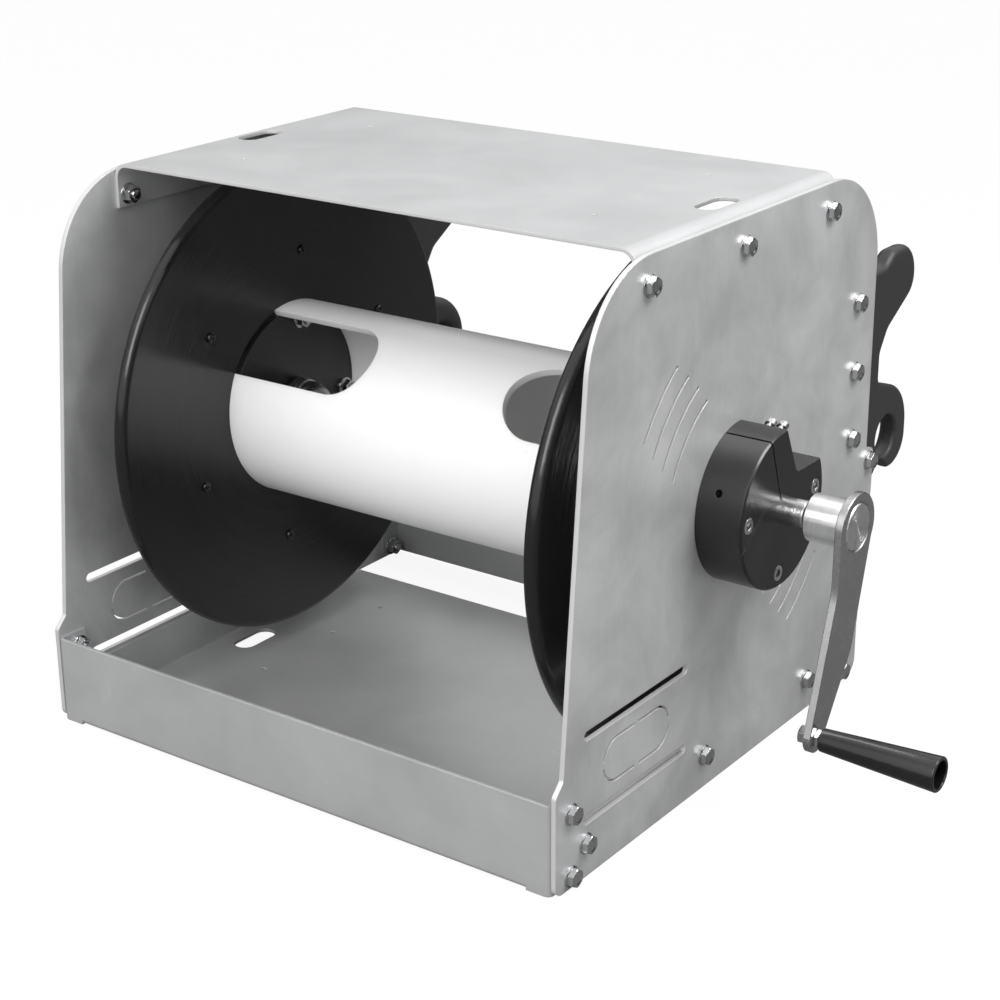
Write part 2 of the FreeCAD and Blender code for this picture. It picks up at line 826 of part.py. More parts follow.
def crank_boss():
    """Turned boss on the shaft's end that carries the crank arm."""
    body = rod(boss_radius, boss_start, arm_outer_face)
    ends = [edge for edge in body.Edges if edge.Curve.TypeId == "Part::GeomCircle"]
    body = body.makeChamfer(boss_chamfer, ends)
    return body.cut(rod(shaft_radius + seat_clearance, boss_start, boss_start + boss_bore_depth))


def crank_arm():
    """Flat arm with a large eye, a broad blade and a narrow tip."""
    inner_face = arm_outer_face - arm_thickness
    eye = rod(arm_eye_radius, inner_face, arm_outer_face)
    tip = rod(arm_tip_radius, inner_face, arm_outer_face, arm_tip_y, arm_tip_z)
    blade = [
        (-arm_eye_radius, axis_height, 0),
        (arm_eye_radius, axis_height, 0),
        arm_back_waist,
        arm_back_knee,
        (arm_tip_y + arm_tip_back[0], arm_tip_z + arm_tip_back[1], 0),
        (arm_tip_y + arm_tip_front[0], arm_tip_z + arm_tip_front[1], 0),
        arm_front_waist,
    ]
    arm = joined([slab(blade, inner_face, arm_outer_face), eye, tip])
    rims = [edge for edge in arm.Edges if edge.BoundBox.XLength < 0.01]
    arm = arm.makeChamfer(arm_edge_bevel, rims)
    bore = boss_radius + seat_clearance
    eye_bevel = Part.makeCone(bore, bore + arm_eye_bevel, arm_eye_bevel,
                              Vector(arm_outer_face - arm_eye_bevel, 0, axis_height), Vector(1, 0, 0))
    return arm.cut([
        rod(bore, inner_face, arm_outer_face),
        eye_bevel,
        rod(spindle_radius + seat_clearance, inner_face, arm_outer_face, arm_tip_y, arm_tip_z),
    ])


def crank_weld():
    """Weld round the boss on the arm's inner face."""
    toe = arm_outer_face - arm_thickness
    throat = [
        (toe, boss_radius, 0),
        (toe, boss_radius + crank_weld_leg, 0),
        (toe - crank_weld_leg, boss_radius, 0),
    ]
    face = rounded_face(throat, lambda u, v: Vector(u, 0, axis_height + v))
    return face.revolve(Vector(0, 0, axis_height), Vector(1, 0, 0), 360)


def handle_spindle():
    """Long bolt that carries the grip; its head sits in the grip's hollow end."""
    head_seat = grip_start() + grip_length - grip_hollow_depth + grip_play
    tail = arm_outer_face - arm_thickness - back_nut_height - spindle_tail
    return joined([
        rod(spindle_radius, tail, head_seat, arm_tip_y, arm_tip_z),
        hexagon(bolt_across_flats, head_seat, head_seat + spindle_head_height, arm_tip_y, arm_tip_z),
    ])


def grip_start():
    """Near end of the grip, just clear of the jam nut."""
    return arm_outer_face + jam_nut_height + grip_play


def spindle_nuts():
    """Jam nut outside the arm and nut behind it."""
    inner_face = arm_outer_face - arm_thickness
    ranges = ((arm_outer_face, arm_outer_face + jam_nut_height), (inner_face - back_nut_height, inner_face))
    nuts = []
    for start, end in ranges:
        hole = rod(spindle_radius + thread_clearance, start, end, arm_tip_y, arm_tip_z)
        nuts.append(hexagon(bolt_across_flats, start, end, arm_tip_y, arm_tip_z).cut(hole))
    return Part.makeCompound(nuts)


def crank_grip():
    """Tapered plastic grip, turned about the spindle, with a hollow outer end."""
    start = grip_start()
    end = start + grip_length
    hollow = end - grip_hollow_depth
    bore = spindle_radius + running_clearance
    profile = [
        (start, bore, 0),
        (start, grip_near_radius, grip_end_round),
        (end, grip_far_radius, grip_end_round),
        (end, grip_hollow_radius, grip_rim_round),
        (hollow, grip_hollow_radius, 0),
        (hollow, bore, 0),
    ]
    face = rounded_face(profile, lambda u, v: Vector(u, arm_tip_y, arm_tip_z + v))
    return face.revolve(Vector(0, arm_tip_y, arm_tip_z), Vector(1, 0, 0), 360)


def swivel_start():
    """Inner end of the swivel, clear of the lock collar."""
    return -block_face - 2 * collar_gap - collar_width


def hollow_axle():
    """Pipe that carries the drum's left end and brings the water in."""
    outer_end = swivel_start() - swivel_length + swivel_cap + collar_gap
    return rod(pipe_radius, outer_end, axle_inner_end).cut(rod(pipe_bore, outer_end, axle_inner_end))


def lock_collar():
    """Collar on the axle outside the left block; it keeps the drum from sliding."""
    start = -block_face - collar_gap
    end = start - collar_width
    collar = rod(collar_radius, start, end).cut(rod(pipe_radius + thread_clearance, start, end))
    screw_hole = Part.makeCylinder(collar_screw_radius, collar_radius, Vector((start + end) / 2, 0, axis_height), Vector(0, 0, 1))
    return collar.cut(screw_hole)


def bend(radius):
    """Quarter of a ring from +X to -Y, for the elbow's body and bore."""
    corner_x = elbow_start + elbow_collar_length
    ring = Part.Circle(Vector(corner_x, 0, axis_height), Vector(1, 0, 0), radius).toShape()
    face = Part.Face(Part.Wire([ring]))
    return face.revolve(Vector(corner_x, -elbow_bend_radius, axis_height), Vector(0, 0, -1), 90)


def outlet_elbow():
    """Elbow on the axle's inner end that turns the water to the front."""
    corner_x = elbow_start + elbow_collar_length
    outlet_x = corner_x + elbow_bend_radius
    front = Vector(0, -1, 0)
    outlet = Vector(outlet_x, -elbow_bend_radius, axis_height)
    body = joined([
        rod(elbow_collar_radius, elbow_start, corner_x),
        bend(elbow_body_radius),
        Part.makeCylinder(elbow_collar_radius, elbow_collar_length, outlet, front),
    ])
    socket = Part.makeCylinder(pipe_radius + thread_clearance, nipple_in_elbow, outlet_mouth(), Vector(0, 1, 0))
    return body.cut([
        rod(pipe_radius + thread_clearance, elbow_start, axle_inner_end),
        rod(pipe_bore, elbow_start, corner_x),
        bend(pipe_bore),
        Part.makeCylinder(pipe_bore, elbow_collar_length, outlet, front),
        socket,
    ])


def outlet_mouth():
    """Centre of the elbow's open front end."""
    outlet_x = elbow_start + elbow_collar_length + elbow_bend_radius
    return Vector(outlet_x, -elbow_bend_radius - elbow_collar_length, axis_height)


def outlet_nipple():
    """Short pipe in the elbow that the hose's inner end screws onto."""
    start = outlet_mouth() + Vector(0, nipple_in_elbow, 0)
    front = Vector(0, -1, 0)
    body = Part.makeCylinder(pipe_radius, nipple_length, start, front)
    return body.cut(Part.makeCylinder(pipe_bore, nipple_length, start, front))


def port_centre_x():
    """Middle of the swivel's downward port."""
    return swivel_start() - swivel_length / 2


def swivel_body():
    """Swivel joint round the axle's outer end, with a port that points down."""
    start = swivel_start()
    end = start - swivel_length
    down = Vector(0, 0, -1)
    centre = Vector(port_centre_x(), 0, axis_height)
    shell = rod(swivel_radius, start, end)
    rim = [edge for edge in shell.Edges if edge.BoundBox.XMax < end + 0.1]
    shell = shell.makeFillet(swivel_end_round, rim)
    port = Part.makeCylinder(port_radius, port_reach, centre, down)
    bore = rod(pipe_radius + running_clearance, start, end + swivel_cap)
    grooves = [seal_ring(spot, seal_section) for spot in seal_spots]
    port_bore = Part.makeCylinder(pipe_bore, port_reach, centre, down)
    return joined([shell, port]).cut([bore, port_bore] + grooves)


def seal_ring(spot, section):
    """Square ring round the axle inside the swivel."""
    start = swivel_start() - spot
    end = start - section
    inner = pipe_radius + running_clearance
    return rod(inner + section, start, end).cut(rod(inner, start, end))


def swivel_seals():
    """Two seal rings in the swivel's grooves."""
    return Part.makeCompound([seal_ring(spot, seal_section) for spot in seal_spots])


def inlet_adapter():
    """Hexagon adapter screwed into the port; the supply hose screws into its lower end."""
    top = axis_height - port_reach + adapter_neck_length
    foot = axis_height - port_reach - adapter_length
    x = port_centre_x()
    corner_radius = adapter_across_flats / math.sqrt(3)
    corners = []
    for step in range(6):
        turn = math.radians(60 * step)
        corners.append((x + corner_radius * math.cos(turn), corner_radius * math.sin(turn), 0))
    nut = rounded_face(corners, on_z(foot)).extrude(Vector(0, 0, adapter_length))
    neck_bore = pipe_bore - tray_thickness
    neck = Part.makeCylinder(pipe_bore - thread_clearance, top - foot, Vector(x, 0, foot))
    return joined([nut, neck]).cut([
        Part.makeCylinder(neck_bore, top - foot, Vector(x, 0, foot)),
        Part.makeCylinder(inlet_thread_radius, inlet_thread_depth, Vector(x, 0, foot)),
    ])


def block_screws(angles, side):
    """Cap screws from a block's recesses through the side plate, with a nut inside."""
    seat = side * (block_face - cap_screw_head_height)
    tail = side * (plate_inner - nut_height - bolt_tail)
    spots = [on_circle(block_screw_radius, angle) for angle in angles]
    return Part.makeCompound([cap_screw(seat, tail, y, z) for y, z in spots])


def block_nuts(angles, side):
    """Nuts of the block screws on the side plate's inner face."""
    spots = [on_circle(block_screw_radius, angle) for angle in angles]
    return Part.makeCompound([flanged_nut(side * plate_inner, -side, y, z) for y, z in spots])


def left_bearing_block():
    """Plain bearing block outside the left side plate."""
    whole = rod(block_radius, half_width, block_face)
    rim = [edge for edge in whole.Edges if edge.BoundBox.XMin > block_face - 0.1]
    whole = whole.makeChamfer(block_rim_bevel, rim)
    cuts = block_screw_cuts(bearing_screw_angles)
    cuts.append(rod(pipe_radius + running_clearance, half_width, block_face))
    return mirrored(whole.cut(cuts))


def build():
    """Every node of the reel by its name."""
    top_spots = [(y, top_bolt_z) for y in top_bolt_ys]
    tray_spots = [(y, tray_bolt_height) for y in tray_bolt_spots] + list(lip_bolt_spots)
    brake_block, clamp_jaw = brake_block_and_jaw()
    hub_gap_face = plate_inner - hub_side_gap
    left_plate = block_screw_holes(bearing_screw_angles, side_plate(plate_axle_hole))
    return {
        "right_side_plate": block_screw_holes(brake_screw_angles, side_plate(plate_shaft_hole)),
        "left_side_plate": mirrored(left_plate),
        "top_plate": top_plate(),
        "base_tray": base_tray(),
        "rear_cross_member": rear_cross_member(),
        "right_hook_plate": hook_plate(),
        "left_hook_plate": mirrored(hook_plate()),
        "top_plate_bolts": plate_bolts(top_spots, top_thickness),
        "top_plate_nuts": plate_nuts(top_spots, top_thickness),
        "tray_bolts": plate_bolts(tray_spots, tray_thickness),
        "tray_nuts": plate_nuts(tray_spots, tray_thickness),
        "cross_member_bolts": plate_bolts(cross_bolt_spots, cross_thickness),
        "cross_member_nuts": plate_nuts(cross_bolt_spots, cross_thickness),
        "hook_plate_bolts": plate_bolts(hook_bolt_spots, hook_thickness),
        "hook_plate_nuts": plate_nuts(hook_bolt_spots, hook_thickness),
        "brake_block": brake_block,
        "brake_clamp_jaw": clamp_jaw,
        "brake_clamp_screws": Part.makeCompound([clamp_screw_parts(x)[0] for x in clamp_screw_x]),
        "brake_block_screws": block_screws(brake_screw_angles, 1),
        "brake_block_nuts": block_nuts(brake_screw_angles, 1),
        "left_bearing_block": left_bearing_block(),
        "left_block_screws": block_screws(bearing_screw_angles, -1),
        "left_block_nuts": block_nuts(bearing_screw_angles, -1),
        "left_flange_disc": flange_disc(left_disc_face, -1),
        "right_flange_disc": flange_disc(right_disc_face, 1),
        "drum_tube": drum_tube(),
        "left_hub_plate": hub_plate(left_disc_face - disc_thickness, -1),
        "right_hub_plate": hub_plate(right_disc_face + disc_thickness, 1),
        "left_hub_boss": hub_boss(left_disc_face - disc_thickness, -1, -hub_gap_face),
        "right_hub_boss": hub_boss(right_disc_face + disc_thickness, 1, hub_gap_face),
        "left_disc_screws": disc_screws(left_disc_face, -1),
        "right_disc_screws": disc_screws(right_disc_face, 1),
        "left_disc_nuts": disc_nuts(left_disc_face, -1),
        "right_disc_nuts": disc_nuts(right_disc_face, 1),
        "left_hub_bolts": hub_bolts(left_disc_face, -1),
        "right_hub_bolts": hub_bolts(right_disc_face, 1),
        "left_hub_nuts": hub_nuts(left_disc_face, -1),
        "right_hub_nuts": hub_nuts(right_disc_face, 1),
        "hollow_axle": hollow_axle(),
        "axle_lock_collar": lock_collar(),
        "outlet_elbow": outlet_elbow(),
        "outlet_nipple": outlet_nipple(),
        "drive_shaft": drive_shaft(),
        "crank_boss": crank_boss(),
        "crank_arm": crank_arm(),
        "crank_weld": crank_weld(),
        "handle_spindle": handle_spindle(),
        "spindle_nuts": spindle_nuts(),
        "crank_grip": crank_grip(),
        "swivel_body": swivel_body(),
        "swivel_seals": swivel_seals(),
        "inlet_adapter": inlet_adapter(),
    }


os.makedirs("parts", exist_ok=True)
for node, shape in build().items():
    if not shape.isValid():
        print(node, "is not valid")
    shape.exportStep(os.path.join("parts", node + ".step"))
    print(node, len(shape.Solids), "solid(s)", round(shape.Volume / 1000, 2), "cm3")
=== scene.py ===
# %% [markdown]
# A hand-cranked hose reel
# The reel is a folded aluminium frame with a drum of black discs on a white pipe, a
# split brake block and a turned crank. Its solids come packed in one frame, in metres.
# This lesson loads them, gives each one its finish, and then works out the small turned
# parts, such as bolts and nuts, as numpy surfaces that stand in for the plain solids.

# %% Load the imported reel
import math

import bpy
import numpy as np
from mathutils import Euler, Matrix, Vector
from mathutils.geometry import delaunay_2d_cdt


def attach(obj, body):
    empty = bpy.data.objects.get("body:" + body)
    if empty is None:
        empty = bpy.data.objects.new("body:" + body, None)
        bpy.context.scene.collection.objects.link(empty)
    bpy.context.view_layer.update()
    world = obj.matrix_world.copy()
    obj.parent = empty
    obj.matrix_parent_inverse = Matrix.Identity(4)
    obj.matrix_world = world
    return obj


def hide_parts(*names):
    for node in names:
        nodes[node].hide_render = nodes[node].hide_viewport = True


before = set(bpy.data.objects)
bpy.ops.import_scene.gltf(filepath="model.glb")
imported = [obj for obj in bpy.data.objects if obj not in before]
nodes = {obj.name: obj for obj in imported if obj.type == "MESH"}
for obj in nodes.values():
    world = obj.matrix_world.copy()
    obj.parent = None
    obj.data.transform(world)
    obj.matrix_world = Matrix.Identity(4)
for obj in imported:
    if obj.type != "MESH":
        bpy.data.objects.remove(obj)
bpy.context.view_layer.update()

# %% [markdown]
# The photographer's place
# A camera can be placed by eye, or worked out from corners of the object whose size is
# known. This one was worked out, so the view is a position, a heading, a tilt, a small
# roll and a lens, and nothing is shifted.

# %% Camera
camera_place = (0.9973, -1.3329, 0.8138)
camera_heading = 36.015
camera_tilt = 21.07
camera_roll = -0.424
camera_lens = 77.32

camera_data = bpy.data.cameras.new("camera")
camera_data.lens = camera_lens
camera_data.sensor_width = 36.0
camera_data.clip_start = 0.05
camera = bpy.data.objects.new("camera", camera_data)
bpy.context.scene.collection.objects.link(camera)
pitch, heading, roll = np.radians([90 - camera_tilt, camera_heading, camera_roll])
turn = Euler((pitch, 0, heading), "XYZ").to_matrix() @ Euler((0, 0, roll), "XYZ").to_matrix()
camera.matrix_world = turn.to_4x4()
camera.location = camera_place
bpy.context.scene.camera = camera
bpy.context.scene.view_settings.view_transform = "Standard"
print("camera", camera_place, "lens", camera_lens)

# %% [markdown]
# Node trees
# Every finish is a small node tree. A few helpers keep the cells short: one adds a node
# and fills it, others do arithmetic or mix two colours. Wherever a helper takes a value,
# it takes a socket too, and wires it. Effects that several finishes share become node
# groups with named inputs and outputs.

# %% Helpers that fill and add nodes
def feed(tree, socket, value):
    """Wires another socket to this one, or sets a plain value on it."""
    if isinstance(value, bpy.types.NodeSocket):
        tree.links.new(value, socket)
    elif value is not None:
        socket.default_value = value


def wire(tree, node, **values):
    """Fills a node: a name with a capital is an input, any other name is a property."""
    for name, value in values.items():
        if name[0].isupper():
            feed(tree, node.inputs[name.replace("_", " ")], value)
        else:
            setattr(node, name, value)
    return node


def add(tree, kind, **values):
    """A new node with its properties, its values and its wires."""
    return wire(tree, tree.nodes.new(kind), **values)


def group_of(name, inputs, outputs):
    """Empty shader group; an input has a start value, a number, a triple or none."""
    tree = bpy.data.node_groups.new(name, "ShaderNodeTree")
    for label, value in inputs.items():
        kind = "NodeSocketFloat" if isinstance(value, float) else "NodeSocketVector"
        socket = tree.interface.new_socket(label, in_out="INPUT", socket_type=kind)
        if value is not None:
            socket.default_value = value
    for label in outputs:
        kind = "NodeSocketVector" if label == "Normal" else "NodeSocketFloat"
        tree.interface.new_socket(label, in_out="OUTPUT", socket_type=kind)
    given, made = tree.nodes.new("NodeGroupInput"), tree.nodes.new("NodeGroupOutput")
    return tree, given.outputs, made


def placed(tree, group, **values):
    """One use of a shared group, with its own values; returns its outputs."""
    group = bpy.data.node_groups[group]
    return add(tree, "ShaderNodeGroup", node_tree=group, **values).outputs


print("node helpers ready")

# %% Helpers that work out a value or a colour
def maths(tree, operation, a, b=None, clamp=False):
    """Math node on one or two operands; returns its result."""
    node = add(tree, "ShaderNodeMath", operation=operation, use_clamp=clamp)
    feed(tree, node.inputs[0], a)
    feed(tree, node.inputs[1], b)
    return node.outputs[0]


def sloped(tree, value, slope, start):
    """The value times a slope, plus a start."""
    return maths(tree, "ADD", maths(tree, "MULTIPLY", value, slope), start)


def above(tree, value, level, gain):
    """How far the value lies above a level, times a gain, kept between 0 and 1."""
    return maths(tree, "MULTIPLY", maths(tree, "SUBTRACT", value, level), gain, clamp=True)


def weighed(tree, first, second, share):
    """A share of the first value, and the rest of the second."""
    return sloped(tree, first, share, maths(tree, "MULTIPLY", second, 1 - share))


def vectors(tree, operation, a, b=None, scale=None):
    """Vector Math node; returns its vector, or its value for a length or a dot product."""
    node = add(tree, "ShaderNodeVectorMath", operation=operation)
    for index, operand in ((0, a), (1, b), (3, scale)):
        feed(tree, node.inputs[index], operand)
    return node.outputs["Value" if operation in ("DOT_PRODUCT", "LENGTH") else "Vector"]


def blend(tree, factor, dark, light):
    """Mix node on two colours; each is a socket or a plain (r, g, b)."""
    node = add(tree, "ShaderNodeMix", data_type="RGBA")
    feed(tree, node.inputs[0], factor)
    ends = [socket for socket in node.inputs if socket.type == "RGBA"]
    for socket, colour in zip(ends, (dark, light)):
        feed(tree, socket, (*colour, 1.0) if isinstance(colour, tuple) else colour)
    return next(socket for socket in node.outputs if socket.type == "RGBA")


def noise(tree, **values):
    """Noise Texture node; returns its value."""
    return add(tree, "ShaderNodeTexNoise", **values).outputs[0]


def object_place(tree):
    """Where a point lies on the object, in metres."""
    return add(tree, "ShaderNodeTexCoord").outputs["Object"]


def grey(level, blue=0.0):
    """A grey; a cool one gains half of the blue in green and all of it in blue."""
    return (level, level + blue / 2, level + blue)


print("value helpers ready")

# %% [markdown]
# Edge wear
# Handled metal is brighter where a corner has been rubbed. The Bevel node gives the
# normal that a rounded edge would have. Where it turns away from the flat normal there
# is an edge, so one minus their dot product is a mask, with noise to break it up.

# %% Shared group: edge wear
wear_gain = 7.0

tree, given, made = group_of("edge_wear", {"Radius": 0.0008, "Breakup": 300.0}, ("Edge", "Normal"))
rounded = add(tree, "ShaderNodeBevel", samples=4, Radius=given["Radius"]).outputs[0]
flat = add(tree, "ShaderNodeNewGeometry").outputs["Normal"]
away = maths(tree, "SUBTRACT", 1.0, vectors(tree, "DOT_PRODUCT", rounded, flat))
breakup = noise(tree, Vector=object_place(tree), Scale=given["Breakup"], Detail=3.0)
broken = maths(tree, "MULTIPLY", away, maths(tree, "ADD", breakup, 0.5))
wire(tree, made, Edge=maths(tree, "MULTIPLY", broken, wear_gain, clamp=True), Normal=rounded)
print("group", tree.name)

# %% [markdown]
# Rolled sheet
# Aluminium sheet from the mill has fine streaks along the direction it was rolled,
# soft cloudy patches from handling, a few thin scratches, and it is never quite flat.
# Streaks are noise that is stretched along one axis; clouds are plain noise; scratches
# are the narrow middle line of a stretched noise; the wave is noise as wide as a hand.

# %% Shared group: rolled sheet
scratch_turn = (0.5, 0.7, 0.6)
scratch_stretch = (14.0, 120.0, 14.0)
scratch_sharpness = 160.0
scratched_cloud = 0.6

tree, given, made = group_of(
    "rolled_sheet", {"Grain Size": (6.0, 900.0, 900.0), "Cloud Size": 9.0},
    ("Streak", "Cloud", "Scratch", "Wave"))
place = object_place(tree)
grain = vectors(tree, "MULTIPLY", place, given["Grain Size"])
streak = noise(tree, Vector=grain, Scale=1.0, Detail=4.0, Roughness=0.65)
cloud = noise(tree, Vector=place, Scale=given["Cloud Size"], Detail=6.0, Roughness=0.6,
              Distortion=0.4)
wave = noise(tree, Vector=place, Scale=5.0, Detail=1.0)
slant = add(tree, "ShaderNodeMapping", Vector=place, Rotation=scratch_turn, Scale=scratch_stretch)
thin = noise(tree, Vector=slant.outputs[0], Scale=1.0, Detail=1.0)
from_middle = maths(tree, "ABSOLUTE", maths(tree, "SUBTRACT", thin, 0.5))
widened = maths(tree, "MULTIPLY", from_middle, scratch_sharpness)
line = maths(tree, "SUBTRACT", 1.0, widened, clamp=True)
rare = maths(tree, "GREATER_THAN", cloud, scratched_cloud)
scratch = maths(tree, "MULTIPLY", line, rare)
wire(tree, made, Streak=streak, Cloud=cloud, Scratch=scratch, Wave=wave)
print("group", tree.name)

# %% [markdown]
# Cut edges
# Where a sheet was cut, its edge is raw metal, and the finish paints it brighter than its
# rolled faces: partly as that raw metal, partly as a painted highlight where the edge catches
# the light. The true normal tells which is which: it lies along the sheet's thickness on the
# faces. Across 1 marks what turns away from the axis, and Across 0 marks what faces along it.

# %% Shared group: cut edge
tree, given, made = group_of("cut_edge", {"Axis": (1.0, 0.0, 0.0), "Across": 1.0}, ("Cut",))
true_normal = add(tree, "ShaderNodeNewGeometry").outputs["True Normal"]
along = maths(tree, "ABSOLUTE", vectors(tree, "DOT_PRODUCT", true_normal, given["Axis"]))
turned_away = maths(tree, "ABSOLUTE", maths(tree, "SUBTRACT", given["Across"], along))
wire(tree, made, Cut=maths(tree, "GREATER_THAN", turned_away, 0.5))
print("group", tree.name)

# %% [markdown]
# Fine grain and dust
# Moulded and machined plastic is never a perfect mirror: it has a grain too small to
# see one by one, faint smears where it was handled, and pale dust on what faces up.

# %% Shared group: plastic surface
tree, given, made = group_of(
    "plastic_surface", {"Grain Size": 900.0, "Smear Size": 14.0, "Dust": 0.3},
    ("Grain", "Smear", "Dust Mask"))
place = object_place(tree)
grain = noise(tree, Vector=place, Scale=given["Grain Size"], Detail=2.0)
smear = noise(tree, Vector=place, Scale=given["Smear Size"], Detail=5.0, Roughness=0.62,
              Distortion=0.8)
normal = add(tree, "ShaderNodeNewGeometry").outputs["Normal"]
facing = add(tree, "ShaderNodeSeparateXYZ", Vector=normal).outputs
patchy = maths(tree, "MULTIPLY", maths(tree, "MAXIMUM", facing["Z"], 0.0), smear)
dust = maths(tree, "MULTIPLY", patchy, given["Dust"], clamp=True)
wire(tree, made, Grain=grain, Smear=smear, Dust_Mask=dust)
print("group", tree.name)

# %% [markdown]
# Turned rings
# A lathe leaves fine rings round its axis. The distance from a line along X gives them:
# the square root of y squared plus z squared, times a number of rings for each metre,
# wobbled by a little noise so that no two rings are equal. The finest rings are far
# thinner than a pixel. They tilt the normal along the axis on a round wall and along the
# radius on a flat end, and this is what draws out the highlight of turned metal.

# %% Shared group: turned rings
axis_height = 0.229
ring_noise = (1.0, 2.0)
tone_noise = (0.06, 2.0)
hair_noise = (9.0, 0.0)
tilt_along_axis = 0.15

tree, given, made = group_of(
    "turned_rings",
    {"Centre": (0.0, 0.0, axis_height), "Rings": 2500.0, "Spread": 0.0, "Normal": None},
    ("Ring", "Tone", "Normal"))
offset = vectors(tree, "SUBTRACT", object_place(tree), given["Centre"])
flat = vectors(tree, "MULTIPLY", offset, (0.0, 1.0, 1.0))
along_axis = add(tree, "ShaderNodeSeparateXYZ", Vector=offset).outputs["X"]
along = maths(tree, "ADD", vectors(tree, "LENGTH", flat), along_axis)
steps = maths(tree, "MULTIPLY", along, given["Rings"])
ring, tone, hair = (noise(tree, noise_dimensions="1D", W=steps, Scale=scale, Detail=detail)
                    for scale, detail in (ring_noise, tone_noise, hair_noise))
tilt = maths(tree, "MULTIPLY", maths(tree, "SUBTRACT", hair, 0.5), given["Spread"])
reach = vectors(tree, "ADD", vectors(tree, "NORMALIZE", flat), (tilt_along_axis, 0.0, 0.0))
share = vectors(tree, "DOT_PRODUCT", reach, given["Normal"])
straight = vectors(tree, "SCALE", given["Normal"], scale=share)
lean = vectors(tree, "SCALE", vectors(tree, "SUBTRACT", reach, straight), scale=tilt)
leaning = vectors(tree, "NORMALIZE", vectors(tree, "ADD", given["Normal"], lean))
wire(tree, made, Ring=ring, Tone=tone, Normal=leaning)
print("group", tree.name)

# %% [markdown]
# One way to make a finish
# Each finish starts as a Principled shader with its constant values typed on its own
# sockets. Colour, roughness and the bump are then wired from the shared groups.

# %% Helpers: start a finish and raise a bump
def finish(name, **values):
    """New material; returns it with its tree and its Principled shader."""
    material = bpy.data.materials.new(name)
    material.use_nodes = True
    tree = material.node_tree
    return material, tree, wire(tree, tree.nodes["Principled BSDF"], **values)


def bump(tree, height, strength, normal, distance=0.0001):
    """Normal that follows a height, on top of another normal."""
    return add(tree, "ShaderNodeBump", Strength=strength, Distance=distance, Height=height,
               Normal=normal).outputs[0]


print("finish helpers ready")

# %% [markdown]
# Sheet aluminium
# The frame is plain rolled sheet: a soft grey mirror with long streaks. Its sawn and
# laser-cut edges are painted brighter than its faces, partly as raw cut metal and partly as a
# painted highlight where the edges catch the light. Its clouds change both its colour and
# its roughness a little, as handling and wiping do on real sheet.

# %% Finish: sheet aluminium
along_x, along_y, no_axis = (1.0, 0.0, 0.0), (0.0, 1.0, 0.0), (0.0, 0.0, 0.0)
upright_grain, level_grain = (900.0, 700.0, 7.0), (7.0, 700.0, 900.0)
# The cut-edge grey is partly raw cut metal and partly a painted highlight for sheet edges that
# catch the light.
scratch_grey, cut_edge_highlight_grey = grey(0.76), grey(0.70)


def sheet_finish(name, dark, light, grain, roughness, cut_axis, across):
    """Rolled sheet; the colour runs from dark to light with clouds and streaks."""
    material, tree, shader = finish(name, Metallic=0.45, Specular_IOR_Level=0.5)
    sheet = placed(tree, "rolled_sheet", Grain_Size=grain, Cloud_Size=12.0)
    wear = placed(tree, "edge_wear", Radius=0.0012)
    cut = placed(tree, "cut_edge", Axis=cut_axis, Across=across)
    mixed = weighed(tree, sheet["Cloud"], sheet["Streak"], share=0.88)
    wide = above(tree, mixed, level=0.36, gain=3.6)
    scratched = maths(tree, "MULTIPLY", sheet["Scratch"], 0.2)
    marked = blend(tree, scratched, blend(tree, wide, dark, light), scratch_grey)
    # Rubbed edges and cut faces take the cut-edge grey: partly real wear and raw metal, partly a
    # painted highlight.
    worn = maths(tree, "MAXIMUM", maths(tree, "MULTIPLY", wear["Edge"], 0.6), cut["Cut"])
    height = sloped(tree, sheet["Wave"], slope=30.0, start=sheet["Streak"])
    wire(tree, shader, Base_Color=blend(tree, worn, marked, cut_edge_highlight_grey),
         Roughness=sloped(tree, wide, slope=0.06, start=roughness - 0.03),
         Normal=bump(tree, height, 0.06, wear["Normal"]))
    return material


# The three are one sheet; the top's and the tray's colours are held darker than the sides' lighter
# clouds, as painted shade against the stronger light on the top and on the tray's front lip.
side_sheet = sheet_finish("side_sheet", grey(0.48, 0.01), grey(0.64, 0.01), upright_grain, 0.42,
                          along_x, 1.0)
top_sheet = sheet_finish("top_sheet", grey(0.535, 0.01), grey(0.575, 0.01), level_grain, 0.45,
                         along_y, 0.0)
tray_sheet = sheet_finish("tray_sheet", grey(0.49, 0.01), grey(0.55, 0.01), level_grain, 0.38,
                          no_axis, 0.0)
print("sheet finishes:", side_sheet.name, top_sheet.name, tray_sheet.name)

# %% [markdown]
# Black parts
# The discs, the blocks and the hook plates are machined from thick plastic, and the grip
# is moulded. All are near black with a satin sheen; discs and blocks carry faint rings.

# %% Finish: black plastics
dust_grey = (0.30, 0.30, 0.29)


def black_finish(name, shade, roughness, grain_size, dust, rings=None, spread=0.0, sheen=0.40):
    """Near-black plastic with grain, smears, dust and rubbed edges."""
    material, tree, shader = finish(name, Specular_IOR_Level=sheen)
    surface = placed(tree, "plastic_surface", Grain_Size=grain_size, Dust=dust)
    wear = placed(tree, "edge_wear", Radius=0.0009)
    bright = tuple(channel * 1.5 for channel in shade)
    pale = tuple(channel * 2.6 + 0.01 for channel in shade)
    smeared = blend(tree, surface["Smear"], shade, bright)
    rubbed = blend(tree, maths(tree, "MULTIPLY", wear["Edge"], 0.5), smeared, pale)
    height, normal = surface["Grain"], wear["Normal"]
    if rings:
        face = placed(tree, "turned_rings", Rings=rings, Spread=spread, Normal=normal)
        height, normal = sloped(tree, face["Ring"], slope=1.5, start=height), face["Normal"]
    wire(tree, shader, Base_Color=blend(tree, surface["Dust Mask"], rubbed, dust_grey),
         Roughness=sloped(tree, surface["Smear"], slope=0.22, start=roughness - 0.11),
         Normal=bump(tree, height, 0.10, normal))
    return material


